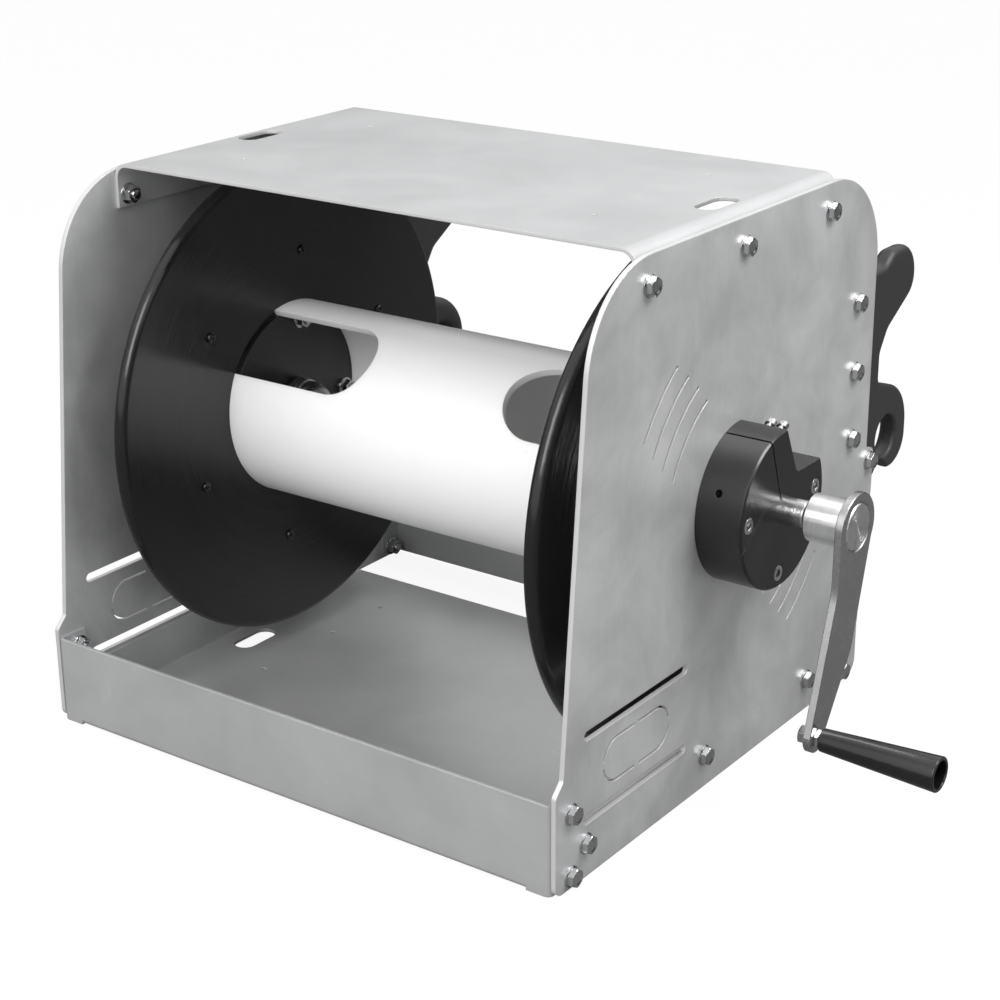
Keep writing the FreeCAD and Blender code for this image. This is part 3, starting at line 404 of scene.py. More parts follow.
disc_black = black_finish("disc_black", (0.007, 0.007, 0.0073), 0.19, 1100.0, 0.05,
                          rings=900.0, spread=0.9, sheen=0.55)
block_black = black_finish("block_black", (0.005, 0.005, 0.0053), 0.24, 1300.0, 0.06,
                           rings=2200.0, spread=1.0, sheen=0.70)
hook_black = black_finish("hook_black", (0.024, 0.024, 0.0245), 0.40, 900.0, 0.08)
grip_black = black_finish("grip_black", (0.005, 0.005, 0.0053), 0.20, 1500.0, 0.03, sheen=0.7)
seal_black = black_finish("seal_black", grey(0.015), 0.55, 1500.0, 0.0)
print("black finishes:", disc_black.name, block_black.name, hook_black.name, grip_black.name)

# %% [markdown]
# White pipe
# The drum is a length of thick white water pipe. Extruded pipe is smooth and a little
# translucent, with faint lines along its length and light scuffs from the hose.

# %% Finish: white pipe
clean_white, scuffed_white, line_white = (0.95, 0.95, 0.945), (0.86, 0.86, 0.85), (0.72, 0.72, 0.71)

pipe_white, tree, shader = finish(
    "pipe_white", Specular_IOR_Level=0.45, Coat_Weight=0.15, Coat_Roughness=0.2,
    Subsurface_Weight=0.3, Subsurface_Scale=0.012, Subsurface_Radius=(1.0, 1.0, 0.95))
smear = placed(tree, "plastic_surface", Smear_Size=22.0)["Smear"]
lines = placed(tree, "rolled_sheet", Grain_Size=(2.0, 260.0, 260.0))
wear = placed(tree, "edge_wear", Radius=0.0008)
shade = blend(tree, above(tree, smear, level=0.5, gain=0.8), clean_white, scuffed_white)
drawn = maths(tree, "MULTIPLY", lines["Scratch"], 0.2)
wire(tree, shader, Base_Color=blend(tree, drawn, shade, line_white),
     Roughness=sloped(tree, smear, slope=0.2, start=0.24),
     Normal=bump(tree, lines["Streak"], 0.05, wear["Normal"]))
print("finish", pipe_white.name)

# %% [markdown]
# Plated and turned steel
# Zinc plating on bolts is bright with soft blotches. The shaft and boss are turned and
# polished, so rings run round them. The crank arm is flat bar, ground along its length.

# %% Finish: bare and plated metals
def metal_finish(name, dark, light, roughness, rings, spread=0.0):
    """Bright metal; blotches change colour and roughness, rings raise and tilt its surface."""
    material, tree, shader = finish(name, Metallic=1.0)
    smear = placed(tree, "plastic_surface", Smear_Size=70.0)["Smear"]
    wear = placed(tree, "edge_wear", Radius=0.0005, Breakup=600.0)
    wall = placed(tree, "turned_rings", Rings=rings, Spread=spread, Normal=wear["Normal"])
    wide = above(tree, weighed(tree, smear, wall["Tone"], share=0.6), level=0.3, gain=2.5)
    worn = maths(tree, "MULTIPLY", wear["Edge"], 0.25)
    wire(tree, shader, Base_Color=blend(tree, worn, blend(tree, wide, dark, light), grey(0.9)),
         Roughness=sloped(tree, wide, slope=0.10, start=roughness - 0.05),
         Normal=bump(tree, wall["Ring"], 0.05, wall["Normal"], distance=0.00004))
    return material


zinc = metal_finish("zinc_plate", grey(0.48, 0.01), grey(0.68, 0.01), 0.12, 900.0)
socket_steel = metal_finish("socket_steel", grey(0.50), grey(0.70), 0.24, 900.0)
dark_screw = metal_finish("dark_screw", (0.03, 0.03, 0.031), (0.08, 0.08, 0.081), 0.26, 900.0)
turned_steel = metal_finish("turned_steel", (0.76, 0.76, 0.765), (0.90, 0.90, 0.905), 0.20, 2600.0,
                            spread=3.0)
arm_metal = metal_finish("arm_metal", (0.45, 0.45, 0.455), (0.52, 0.52, 0.525), 0.26, 300.0)
weld_metal = metal_finish("weld_metal", grey(0.38), grey(0.66), 0.30, 1500.0)
fitting_steel = metal_finish("fitting_steel", grey(0.50), grey(0.72), 0.26, 1500.0, spread=0.4)
print("metals:", zinc.name, socket_steel.name, turned_steel.name, arm_metal.name)

# %% [markdown]
# Smooth shading for the solids
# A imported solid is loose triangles, so curved walls would show their facets. A small
# geometry tree welds them and shades every edge smooth whose faces turn less than a set
# angle; a Weighted Normal modifier then keeps the large flat faces flat.

# %% Geometry tree for smooth shading
smooth_angle = 0.42
weld_distance = 0.000002

shading = bpy.data.node_groups.new("welded_shading", "GeometryNodeTree")
for side in ("INPUT", "OUTPUT"):
    shading.interface.new_socket("Geometry", in_out=side, socket_type="NodeSocketGeometry")
given = shading.nodes.new("NodeGroupInput")
made = shading.nodes.new("NodeGroupOutput")
weld = add(shading, "GeometryNodeMergeByDistance", Geometry=given.outputs[0],
           Distance=weld_distance)
angle = add(shading, "GeometryNodeInputMeshEdgeAngle").outputs["Unsigned Angle"]
gentle = add(shading, "FunctionNodeCompare", data_type="FLOAT", operation="LESS_THAN", A=angle,
             B=smooth_angle)
faces = add(shading, "GeometryNodeSetShadeSmooth", domain="FACE", Geometry=weld.outputs[0])
edges = add(shading, "GeometryNodeSetShadeSmooth", domain="EDGE", Geometry=faces.outputs[0],
            Shade_Smooth=gentle.outputs[0])
wire(shading, made, Geometry=edges.outputs[0])


def smooth_solid(piece):
    """Welded, angle-limited smooth shading as live modifiers; the mesh itself stays."""
    modifier = piece.modifiers.new("welded shading", "NODES")
    modifier.node_group = shading
    weighting = piece.modifiers.new("area weighting", "WEIGHTED_NORMAL")
    weighting.keep_sharp = True


print("shading tree", shading.name)

# %% [markdown]
# Dressing the solids
# Every node of the reel gets its finish by name, through its object's material slots. A
# table gives each finish its nodes; what it leaves out is zinc plated.

# %% Finish of every node
nodes_of = {
    side_sheet: "right_side_plate left_side_plate", top_sheet: "top_plate",
    tray_sheet: "base_tray rear_cross_member",
    hook_black: "right_hook_plate left_hook_plate",
    block_black: "brake_block brake_clamp_jaw left_bearing_block",
    disc_black: "left_flange_disc right_flange_disc", pipe_white: "drum_tube",
    arm_metal: "left_hub_plate right_hub_plate left_hub_boss right_hub_boss crank_arm",
    dark_screw: "left_disc_screws right_disc_screws",
    socket_steel: "brake_clamp_screws brake_block_screws left_block_screws",
    fitting_steel: "hollow_axle outlet_elbow outlet_nipple swivel_body inlet_adapter",
    turned_steel: "axle_lock_collar drive_shaft crank_boss", weld_metal: "crank_weld",
    grip_black: "crank_grip", seal_black: "swivel_seals",
}
finish_of = {node: look for look, names in nodes_of.items() for node in names.split()}
for name, piece in nodes.items():
    look = finish_of.get(name, zinc)
    if not piece.material_slots:
        piece.data.materials.append(look)
    for slot in piece.material_slots:
        slot.material = look
    smooth_solid(piece)
print("dressed", len(nodes), "nodes,", len(finish_of), "by name")

# %% [markdown]
# Surfaces from arrays
# A lathe part is a profile turned about a line. As arrays it is simple: the points of
# the profile run along one index, the turn runs along the other, and the whole grid is
# worked out at once. The grid's faces are then the four neighbours of each cell.

# %% Helpers: grids, their faces and their copies
def ring_faces(rings, turns, closed=False):
    """Quads between each ring and the next; a closed grid joins its last ring to its first."""
    index = np.arange(rings * turns).reshape(rings, turns)
    after = np.roll(index, -1, axis=1)
    below, below_after = np.roll(index, -1, axis=0), np.roll(after, -1, axis=0)
    quads = np.stack([index, after, below_after, below], axis=-1)
    return quads[:None if closed else -1].reshape(-1, 4)


def repeated(points, faces, spots):
    """Copies of one small grid at many spots: every point plus every spot, as one array."""
    points = points.reshape(-1, 3)
    many = (points[None, :, :] + np.asarray(spots)[:, None, :]).reshape(-1, 3)
    shift = np.arange(len(spots)) * len(points)
    return many, (faces[None, :, :] + shift[:, None, None]).reshape(-1, faces.shape[1])


def gathered(groups):
    """One point array and one face array from several (points, faces) pairs."""
    starts = np.cumsum([0] + [len(points) for points, faces in groups[:-1]])
    return (np.concatenate([points for points, faces in groups]),
            np.concatenate([faces + start for (points, faces), start in zip(groups, starts)]))


def on_circle(x, radius, angles):
    """Spots (x, y, z) on a circle about the drum's axis; angles in degrees from +Y."""
    t = np.radians(np.asarray(angles, float))
    return np.stack([x + 0 * t, radius * np.cos(t), axis_height + radius * np.sin(t)], axis=-1)


print("grid helpers ready")

# %% [markdown]
# Pieces that stand for nodes
# A new piece says three things: the body that it rides on, its finish, and the nodes that
# it stands for, which it hides. One helper says all three for every small part below.


def piece_from(name, points, faces, look, body, stands_for=()):
    """Object from point and face arrays, riding on a body, in place of some nodes."""
    mesh = bpy.data.meshes.new(name)
    mesh.from_pydata(points.reshape(-1, 3).tolist(), [], faces.tolist())
    mesh.validate()
    mesh.materials.append(look)
    mesh.shade_smooth()
    piece = bpy.data.objects.new(name, mesh)
    bpy.context.scene.collection.objects.link(piece)
    smooth_solid(piece)
    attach(piece, body)
    if stands_for:
        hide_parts(*stands_for)
    print(name, len(mesh.vertices), "points")


def stand_in(node, surface, look, body):
    """Fine piece from (points, faces), named after the one node that it stands for."""
    piece_from(node + "_fine", *surface, look, body, (node,))


# %% [markdown]
# Turned sections
# At each angle, a hexagon with turned corners is the smaller of a hexagon and a circle.
# So one lathe grid gives a head, its rounded corners, its washer face, its socket, the
# shank, and the thread, whose radius follows a helix. Each row of a table is one ring:
# how far along the axis, its round radius, and if need be the hexagon's flats (or 0) and
# 1 for thread.

# %% Helpers: turned sections
fastener_turns = 36
round_turns = 96
thread_pitch = 0.00125
thread_depth = 0.0005
threaded_length = 0.0042
open_radius = 1.0


def hexagon_radius(angle, across_flats):
    """Distance to a hexagon's side: half the flats over the cosine to the nearest side."""
    side = np.pi / 3
    from_side = (angle + side / 2) % side - side / 2
    return across_flats / 2 / np.cos(from_side)


def turned(sections, sign, turns=fastener_turns, pitch=thread_pitch, depth=thread_depth):
    """Grid about the X line: x = sign * station, y = r cos t, z = r sin t, r from a table."""
    t = np.linspace(0, 2 * np.pi, turns, endpoint=False)[None, :]
    table = np.array([(*row, 0, 0)[:4] for row in sections], float)
    station, flats = table[:, 0:1], table[:, 2:3]
    hexed = hexagon_radius(t, np.where(flats > 0, flats, 2 * open_radius))
    phase = (t / (2 * np.pi) + station / pitch) % 1.0
    groove = table[:, 3:4] * depth * (1 - np.abs(2 * phase - 1))
    radii = np.minimum(table[:, 1:2] + 0 * t, hexed) - groove
    x = sign * (station + 0 * t)
    return np.stack([x, radii * np.cos(sign * t), radii * np.sin(sign * t)], axis=-1)


def lathed(rows, sign=1):
    """Surface of a fastener that is closed by a point at each end of its table."""
    points = turned(rows, sign)
    return points, ring_faces(len(points), fastener_turns)[:, ::-1]


def bored(rows, sign=1):
    """Surface of a nut, closed through its bore."""
    points = turned(rows, sign)
    return points, ring_faces(len(points), fastener_turns, closed=True)


def threaded_tail(radius, end, rings=15):
    """Rows from a plain shank at the seat to its threaded, pointed end."""
    thread = [(end + threaded_length * (1 - step / rings), radius, 0, 1)
              for step in range(1, rings)]
    return [(0.0, radius), (end + threaded_length, radius), *thread,
            (end + 0.0002, radius * 0.88), (end, radius * 0.76), (end, 0.0)]


print("one bolt's thread rows:", len(threaded_tail(0.004, -0.02)))

# %% [markdown]
# Flanged bolts and nuts
# The frame is held by flanged hexagon bolts, 13 mm across the flats, with a dished top.
# They are the brightest small things on the reel, so they get their dish, their washer
# face and their thread ends as real surface.

# %% Surfaces of flanged bolts and nuts
bolt_flats = 0.013
bolt_radius = 0.004
nut_bore = 0.0041


def flanged_bolt(tail_length, sign):
    """Bolt whose seat is at zero: head on the sign's side, threaded tail on the other."""
    flats, top = bolt_flats, 0.0064
    head = [(top - 0.0007, 0.0), (top - 0.0007, 0.0040), (top - 0.0001, 0.0050), (top, 0.0054),
            (top, 0.0060, flats), (top - 0.0004, 0.0069, flats), (top - 0.0009, 0.0076, flats),
            (0.0022, 0.0076, flats), (0.0019, 0.0078, flats), (0.0018, 0.0070),
            (0.0012, 0.0078), (0.0007, 0.0083), (0.0, 0.0083)]
    return lathed(head + threaded_tail(bolt_radius, -tail_length), sign)


def flanged_nut(sign):
    """Flanged nut from its seat at zero to its top on the sign's side."""
    flats, top, bore = bolt_flats, 0.0075, nut_bore
    return bored([(0.0, bore), (0.0, 0.0087), (0.0007, 0.0087), (0.0012, 0.0082),
                  (0.0018, 0.0072), (0.0019, 0.0078, flats), (top - 0.0008, 0.0077, flats),
                  (top - 0.0003, 0.0069, flats), (top, 0.0061), (top, bore + 0.0007),
                  (top - 0.0006, bore)], sign)


def plain_nut(sign, flats, top, bore):
    """Hexagon nut with both ends chamfered, from its seat at zero to its top."""
    face, chamfer, corner = flats / 2 - 0.0002, flats / 2 + 0.0003, flats / math.sqrt(3) + 0.0001
    return bored([(0.0, bore + 0.0003), (0.0, face), (0.0003, chamfer, flats),
                  (0.0007, corner, flats), (top - 0.0007, corner, flats),
                  (top - 0.0003, chamfer, flats), (top, face), (top, bore + 0.0003),
                  (top - 0.0004, bore), (0.0004, bore)], sign)


print("bolt grid:", flanged_bolt(0.02, 1)[0].shape, "nut grid:", flanged_nut(1)[0].shape)

# %% Bolts and nuts through the side plates
outer_face = 0.2505
inner_face = 0.2465
tail_beyond_nut = 0.0095
side_spots = {
    "top_plate": (0.003, [(-0.131, 0.425), (0.0, 0.425), (0.131, 0.425)]),
    "tray": (0.003, [(-0.039, 0.028), (0.126, 0.028), (-0.2225, 0.060), (-0.204, 0.028),
                     (-0.2225, 0.0096)]),
    "cross_member": (0.003, [(0.191, 0.0105), (0.191, 0.0525)]),
    "hook_plate": (0.019, [(0.186, 0.339), (0.186, 0.281), (0.186, 0.223), (0.221, 0.194)]),
}
for holder, (clamped, spots) in side_spots.items():
    bolts, nuts = [], []
    bolt_length = outer_face - inner_face + clamped + tail_beyond_nut
    for sign in (1, -1):
        heads = [(sign * outer_face, y, z) for y, z in spots]
        seats = [(sign * (inner_face - clamped), y, z) for y, z in spots]
        bolts.append(repeated(*flanged_bolt(bolt_length, sign), heads))
        nuts.append(repeated(*flanged_nut(-sign), seats))
    stand_in(holder + "_bolts", gathered(bolts), zinc, "frame")
    stand_in(holder + "_nuts", gathered(nuts), zinc, "frame")

# %% [markdown]
# Socket screws
# The blocks are held by socket head screws, sunk flush, and the jaw by two smaller ones.
# Round button screws hold the discs. A socket is a hexagon turned inwards: the same
# table gives it, with the circle left so wide that only the hexagon counts.

# %% Surface of a socket screw
def socket_screw(tail_length, sign, head_radius, top, socket, shank_radius, dome=0.0):
    """Screw whose seat is at zero; dome is how much its head's rim lies below its top."""
    floor, mouth, edge = top * 0.45, socket * 0.62, top - dome
    rows = [(floor - socket * 0.2, 0.0), (floor, open_radius, socket),
            (top - 0.0003, open_radius, socket), (top, mouth)]
    if dome:
        bow = np.linspace(0.25, 1.0, 6) * np.pi / 2
        rows += [(edge + dome * math.cos(a), mouth + (head_radius - mouth) * math.sin(a))
                 for a in bow]
    else:
        rows += [(top, head_radius - 0.0006), (top - 0.0002, head_radius - 0.0002),
                 (top - 0.0006, head_radius)]
    rows += [(0.0002, head_radius), (0.0, head_radius - 0.0002)]
    return lathed(rows + threaded_tail(shank_radius, -tail_length), sign)


print("socket screw grid:", socket_screw(0.02, 1, 0.0065, 0.008, 0.006, 0.004)[0].shape)

# %% Screws and nuts of the two blocks
block_face = 0.2897
block_circle = 0.051
screw_head = 0.008
block_tail = 0.0447
blocks = {"brake_block": (1, (3, 177, 267)), "left_block": (-1, (45, 135, 225, 315))}
for block, (sign, angles) in blocks.items():
    screw = socket_screw(block_tail, sign, head_radius=0.0065, top=screw_head, socket=0.006,
                         shank_radius=bolt_radius)
    heads = on_circle(sign * (block_face - screw_head), block_circle, angles)
    seats = on_circle(sign * inner_face, block_circle, angles)
    stand_in(block + "_screws", repeated(*screw, heads), socket_steel, "frame")
    stand_in(block + "_nuts", repeated(*flanged_nut(-sign), seats), zinc, "frame")

# %% [markdown]
# Clamp screws
# The two screws that close the jaw stand square to its seam, 109 degrees round from +Y.
# A screw made along X is laid along that direction by three unit vectors: its own axis
# goes along the outward normal of the seam, and the other two follow.

# %% Clamp screws of the jaw
seam_angle = math.radians(109)
clamp_circle = 0.055
clamp_seat = 0.0265
clamp_tail = 0.040
clamp_xs = (0.2715, 0.2815)
outward = np.array([0.0, math.sin(seam_angle), -math.cos(seam_angle)])
across = np.array([0.0, math.cos(seam_angle), math.sin(seam_angle)])
axes = np.stack([outward, across, np.cross(outward, across)])
points, faces = socket_screw(clamp_tail, 1, head_radius=0.00425, top=0.005, socket=0.004,
                             shank_radius=0.0025)
laid = points.reshape(-1, 3) @ axes
centre = np.array([0.0, 0.0, axis_height]) + clamp_circle * across + clamp_seat * outward
spots = [centre + np.array([x, 0.0, 0.0]) for x in clamp_xs]
stand_in("brake_clamp_screws", repeated(laid, faces, spots), socket_steel, "frame")

# %% [markdown]
# Fasteners of the drum
# Six button screws hold each disc to the hub plate outside it, with their round heads
# inside the drum, and four bolts hold the hub's boss. Their spots lie on two circles, and
# the left side is the right one turned about, so one loop with a sign makes both.

# %% Screws, bolts and nuts of the drum
disc_faces = {"left": (-1, -0.1905), "right": (1, 0.197)}
disc_and_plate = 0.0177
disc_screw_tail = 0.0227
disc_circle = 0.127
disc_angles = np.arange(6) * 60 + 23
hub_circle = 0.0675
hub_angles = np.arange(4) * 90 - 9
for side, (sign, face) in disc_faces.items():
    back = face + sign * disc_and_plate
    screw = socket_screw(disc_screw_tail, -sign, head_radius=0.00425, top=0.0027, socket=0.003,
                         shank_radius=0.0025, dome=0.0018)
    nut = plain_nut(sign, flats=0.008, top=0.004, bore=0.0026)
    bolt = flanged_bolt(disc_and_plate + tail_beyond_nut, sign)
    for name, surface, x, circle, angles, look in (
            ("_disc_screws", screw, face, disc_circle, disc_angles, dark_screw),
            ("_disc_nuts", nut, back, disc_circle, disc_angles, zinc),
            ("_hub_bolts", bolt, back, hub_circle, hub_angles, zinc),
            ("_hub_nuts", flanged_nut(-sign), face, hub_circle, hub_angles, zinc)):
        stand_in(side + name, repeated(*surface, on_circle(x, circle, angles)), look, "drum")

# %% [markdown]
# The handle's bolt
# The grip turns on a long bolt whose head sits deep in the grip. A thin nut locks it in
# front of the arm and a full nut holds it behind, with the thread's end standing out.

# %% Handle bolt and its nuts
handle_spot = (-0.049, 0.077)
spindle_seat = 0.4175
spindle_end = 0.33735
jam_nut_x, jam_nut_height = 0.3522, 0.004
back_nut_x, back_nut_height = 0.33885, 0.007
spindle_head = [(0.0055, 0.0), (0.0055, 0.0058), (0.0052, 0.0066, bolt_flats),
                (0.0046, 0.0076, bolt_flats), (0.0005, 0.0076, bolt_flats), (0.0, 0.0064)]
spindle = lathed(spindle_head + threaded_tail(bolt_radius, spindle_end - spindle_seat))
stand_in("handle_spindle", repeated(*spindle, [(spindle_seat, *handle_spot)]), zinc, "drum")
nuts = [repeated(*plain_nut(1, bolt_flats, height, nut_bore), [(x, *handle_spot)])
        for x, height in ((jam_nut_x, jam_nut_height), (back_nut_x, back_nut_height))]
stand_in("spindle_nuts", gathered(nuts), zinc, "drum")

# %% [markdown]
# Shaft and boss
# The crank's shaft and boss are turned and polished bar, and nothing on the reel shines
# more. A flat-sided solid would break their long highlights, so both are lathe grids of
# 96 sides. The boss's end is dished by a shallow cone, as the tool leaves it.

# %% Turned shaft and boss
shaft_radius, neck_radius, boss_radius = 0.0111, 0.0100, 0.0185
shaft_start, neck_start, boss_start, shaft_end, boss_end = 0.186, 0.311, 0.315, 0.343, 0.3522
shaft_chamfer, neck_chamfer, boss_chamfer = 0.0006, 0.0004, 0.0012
boss_bore = shaft_radius + 0.0001
boss_face = boss_radius - boss_chamfer
dish_radius, dish = boss_radius - 2.2 * boss_chamfer, 0.0009
shaft_rows = [(shaft_start, 0.0), (shaft_start, shaft_radius - shaft_chamfer),
              (shaft_start + shaft_chamfer, shaft_radius),
              (neck_start - neck_chamfer, shaft_radius),
              (neck_start, shaft_radius - neck_chamfer), (neck_start, neck_radius),
              (boss_start, neck_radius), (boss_start, shaft_radius), (shaft_end, shaft_radius),
              (shaft_end, 0.0)]
boss_rows = [(shaft_end, 0.0), (shaft_end, boss_bore), (boss_start, boss_bore),
             (boss_start, boss_face), (boss_start + boss_chamfer, boss_radius),
             (boss_end - boss_chamfer, boss_radius), (boss_end, boss_face),
             (boss_end, dish_radius), (boss_end - dish, 0.0)]
for name, rows in (("drive_shaft", shaft_rows), ("crank_boss", boss_rows)):
    points = turned(rows, 1, round_turns) + np.array([0.0, 0.0, axis_height])
    stand_in(name, (points, ring_faces(len(points), round_turns)), turned_steel, "drum")

# %% [markdown]
# Rounded hook plates
# The hook plates' edges are rounded over, most of all on the inner side of the hook. Any
# such plate is two faces over one outline, each sunk near its edge by a quarter circle of
# the distance to that edge. Rings of points that follow the edge keep the curve even.

# %% Outline, eye and holes of a hook plate
# The outline's corners are y, z and rounding in millimetres; the eye is y, z, radius in metres.
hook_corners = [(170, 165, 6), (170, 353.5, 6), (246, 355.5, 14), (261, 366.2, 10),
                (301.2, 366.2, 24.5), (301.2, 327, 24.5), (254, 299.5, 16), (242, 281.5, 10),
                (242, 256, 6), (299, 236.9, 42), (299, 171.5, 26), (268.5, 171.5, 8),
                (253, 184.5, 2.5), (233, 166, 8)]
hook_eye = (0.261, 0.203, 0.018)
hook_hole_radius = 0.0044
edge_step = 0.002
eye_turns, hole_turns = 64, 24


def unit(vector):
    """The vector over its length."""
    return vector / np.linalg.norm(vector)


def rounded_outline(corners, step):
    """Loop with an arc at each corner: it starts r / tan(half the corner's angle) from it."""
    table = np.array(corners, float)
    spots, radii = table[:, :2] / 1000, table[:, 2] / 1000
    befores, afters = np.roll(spots, 1, axis=0), np.roll(spots, -1, axis=0)
    arcs = []
    for before, spot, after, radius in zip(befores, spots, afters, radii):
        back, ahead = unit(before - spot), unit(after - spot)
        half = math.acos(np.clip(back @ ahead, -1, 1)) / 2
        middle = spot + unit(back + ahead) * radius / math.sin(half)
        start = spot + back * radius / math.tan(half) - middle
        end = spot + ahead * radius / math.tan(half) - middle
        sweep = math.atan2(start[0] * end[1] - start[1] * end[0], start @ end)
        t = np.linspace(0, sweep, max(4, int(abs(sweep) * radius / step) + 2))[:, None]
        arcs.append(middle + start * np.cos(t) + np.array([-start[1], start[0]]) * np.sin(t))
    bends = np.concatenate(arcs)
    runs = [a + (b - a) * np.linspace(0, 1, max(1, round(np.linalg.norm(b - a) / step)),
                                      endpoint=False)[:, None]
            for a, b in zip(bends, np.roll(bends, -1, axis=0))]
    return np.concatenate(runs)


def circle_loop(y, z, radius, count):
    """Loop of points at equal turns on a circle."""
    t = np.linspace(0, 2 * np.pi, count, endpoint=False)
    return np.stack([y + radius * np.cos(t), z + radius * np.sin(t)], axis=-1)


outline = rounded_outline(hook_corners, edge_step)
eye_loop = circle_loop(*hook_eye, eye_turns)
holes = [circle_loop(y, z, hook_hole_radius, hole_turns) for y, z in side_spots["hook_plate"][1]]
print("outline points:", len(outline), "eye points:", len(eye_loop), "holes:", len(holes))

# %% Distances over the plate
def distance_to(points, loop):
    """Shortest distance from each point to the loop's segments, all pairs at once."""
    run = np.roll(loop, -1, axis=0) - loop
    along = np.clip(((points[:, None] - loop) * run).sum(-1) / (run * run).sum(-1), 0, 1)
    return np.linalg.norm(points[:, None] - loop - along[..., None] * run, axis=-1).min(axis=1)


def inside(points, loop):
    """Odd number of edges crossed by a level ray from each point."""
    a, b = loop, np.roll(loop, -1, axis=0)
    y, z = points[:, 0:1], points[:, 1:2]
    level = (a[:, 1] > z) != (b[:, 1] > z)
    rise = np.where(a[:, 1] == b[:, 1], 1.0, b[:, 1] - a[:, 1])
    crossing = a[:, 0] + (z - a[:, 1]) * (b[:, 0] - a[:, 0]) / rise
    return (level & (y < crossing)).sum(axis=1) % 2 == 1


def to_edge(points):
    """Distance to the nearer of the outline and the eye."""
    return np.minimum(distance_to(points, outline), distance_to(points, eye_loop))


def on_plate(points):
    """Inside the outline, and outside the eye and the bolt holes."""
    return inside(points, outline) & ~np.any([inside(points, loop) for loop in (eye_loop, *holes)],
                                             axis=0)


def followed(loop, gap, outwards):
    """The loop moved by a gap along its normals, away from or into what it encloses."""
    run = np.roll(loop, -1, axis=0) - np.roll(loop, 1, axis=0)
    normal = np.stack([run[:, 1], -run[:, 0]], axis=-1) / np.linalg.norm(run, axis=1)[:, None]
    area = (loop[:, 0] * np.roll(loop[:, 1], -1) - np.roll(loop[:, 0], -1) * loop[:, 1]).sum()
    return loop + normal * gap * np.sign(area) * (1 if outwards else -1)


print("centre of the eye is on the plate:", on_plate(np.array([hook_eye[:2]]))[0])

# %% Points of a hook plate
ring_gaps = [0.00012, 0.00045, 0.0011, 0.0024, 0.0040, 0.0058, 0.0078, 0.0100, 0.0122]
ring_tolerance = 0.97
grid_step = 0.004
grid_y, grid_z = np.arange(0.172, 0.301, grid_step), np.arange(0.167, 0.366, grid_step)
grid_from_edge = 0.0140
grid_from_hole = 0.0015

near = []
for loop, outwards in ((outline, False), (eye_loop, True)):
    for gap in ring_gaps:
        ring = followed(loop, gap, outwards)
        near.append(ring[to_edge(ring) > gap * ring_tolerance])
lattice = np.stack(np.meshgrid(grid_y, grid_z), -1).reshape(-1, 2)
to_hole = np.min([distance_to(lattice, hole) for hole in holes], axis=0)
lattice = lattice[(to_edge(lattice) > grid_from_edge) & (to_hole > grid_from_hole)]
loose = np.concatenate([*near, lattice])
loops = [outline, eye_loop, *holes]
flat_points = np.concatenate([*loops, loose[on_plate(loose)]])
print("hook plate:", len(flat_points), "points")

# %% Triangles of a hook plate
same_point = 1e-9

starts = np.cumsum([0] + [len(loop) for loop in loops])
order = [np.arange(len(loop)) for loop in loops]
seams = [start + np.stack([index, np.roll(index, -1)], -1) for start, index in zip(starts, order)]
solved = delaunay_2d_cdt([Vector(point) for point in flat_points],
                         np.concatenate(seams).tolist(), [], 0, same_point)
flat_points, triangles = np.array([tuple(point) for point in solved[0]]), np.array(solved[2])
triangles = triangles[on_plate(flat_points[triangles].mean(axis=1))]
a, b, c = (flat_points[triangles[:, k]] for k in range(3))
turning = (b[:, 0] - a[:, 0]) * (c[:, 1] - a[:, 1]) - (b[:, 1] - a[:, 1]) * (c[:, 0] - a[:, 0])
triangles[turning < 0] = triangles[turning < 0][:, ::-1]
print("hook plate:", len(triangles), "triangles a side")

# %% Hook plates
hook_thickness = 0.019
outer_rounding, horn_rounding = 0.0035, 0.0065
seat_rounding, inner_rounding = 0.005, 0.0120
hook_start, hook_run = 0.205, 0.025
horn_start, horn_run = 0.320, 0.035


def eased(value, start, run):
    """Soft step 3 t squared less 2 t cubed, as t goes from 0 to 1 over the run."""
    t = np.clip((value - start) / run, 0, 1)
    return t * t * (3 - 2 * t)


def sunk(distance, rounding):
    """Quarter circle: r minus the root of r squared minus (r minus distance) squared."""
    short = np.clip(rounding - distance, 0, None)
    return rounding - np.sqrt(np.clip(rounding ** 2 - short ** 2, 0, None))


hooked = eased(flat_points[:, 0], hook_start, hook_run)
horned = eased(flat_points[:, 1], horn_start, horn_run)
from_edge = to_edge(flat_points)
inner_x = sunk(from_edge, seat_rounding + (inner_rounding - seat_rounding) * hooked)
inner_x += inner_face - hook_thickness
outer_x = inner_face - sunk(from_edge, outer_rounding + (horn_rounding - outer_rounding) * horned)
count = len(flat_points)
edges = np.concatenate([triangles[:, [0, 1]], triangles[:, [1, 2]], triangles[:, [2, 0]]])
shared = np.isin(edges[:, 1] * count + edges[:, 0], edges[:, 0] * count + edges[:, 1])
first, second = edges[~shared].T
walls = np.concatenate([np.stack([first, first + count, second + count], -1),
                        np.stack([first, second + count, second], -1)])
faces = np.concatenate([triangles, triangles[:, ::-1] + count, walls])
for side, sign in (("right", 1), ("left", -1)):
    points = np.concatenate([np.column_stack([sign * x, flat_points]) for x in (outer_x, inner_x)])
    stand_in(side + "_hook_plate", (points, faces[:, ::sign]), hook_black, "frame")

# %% [markdown]
# Weld beads
# A hand-laid weld is a row of overlapping ripples. Its section bows outwards between its
# two toes; along the seam, a wave with a lagging front lifts it, and two slow waves make
# the ripples uneven. One bead joins the boss and the arm, another fills the shaft's neck.

# %% Weld beads round the shaft's axis
weld_turns = 360
weld_sections = 9
ripples = 46
ripple_lag = 2.2


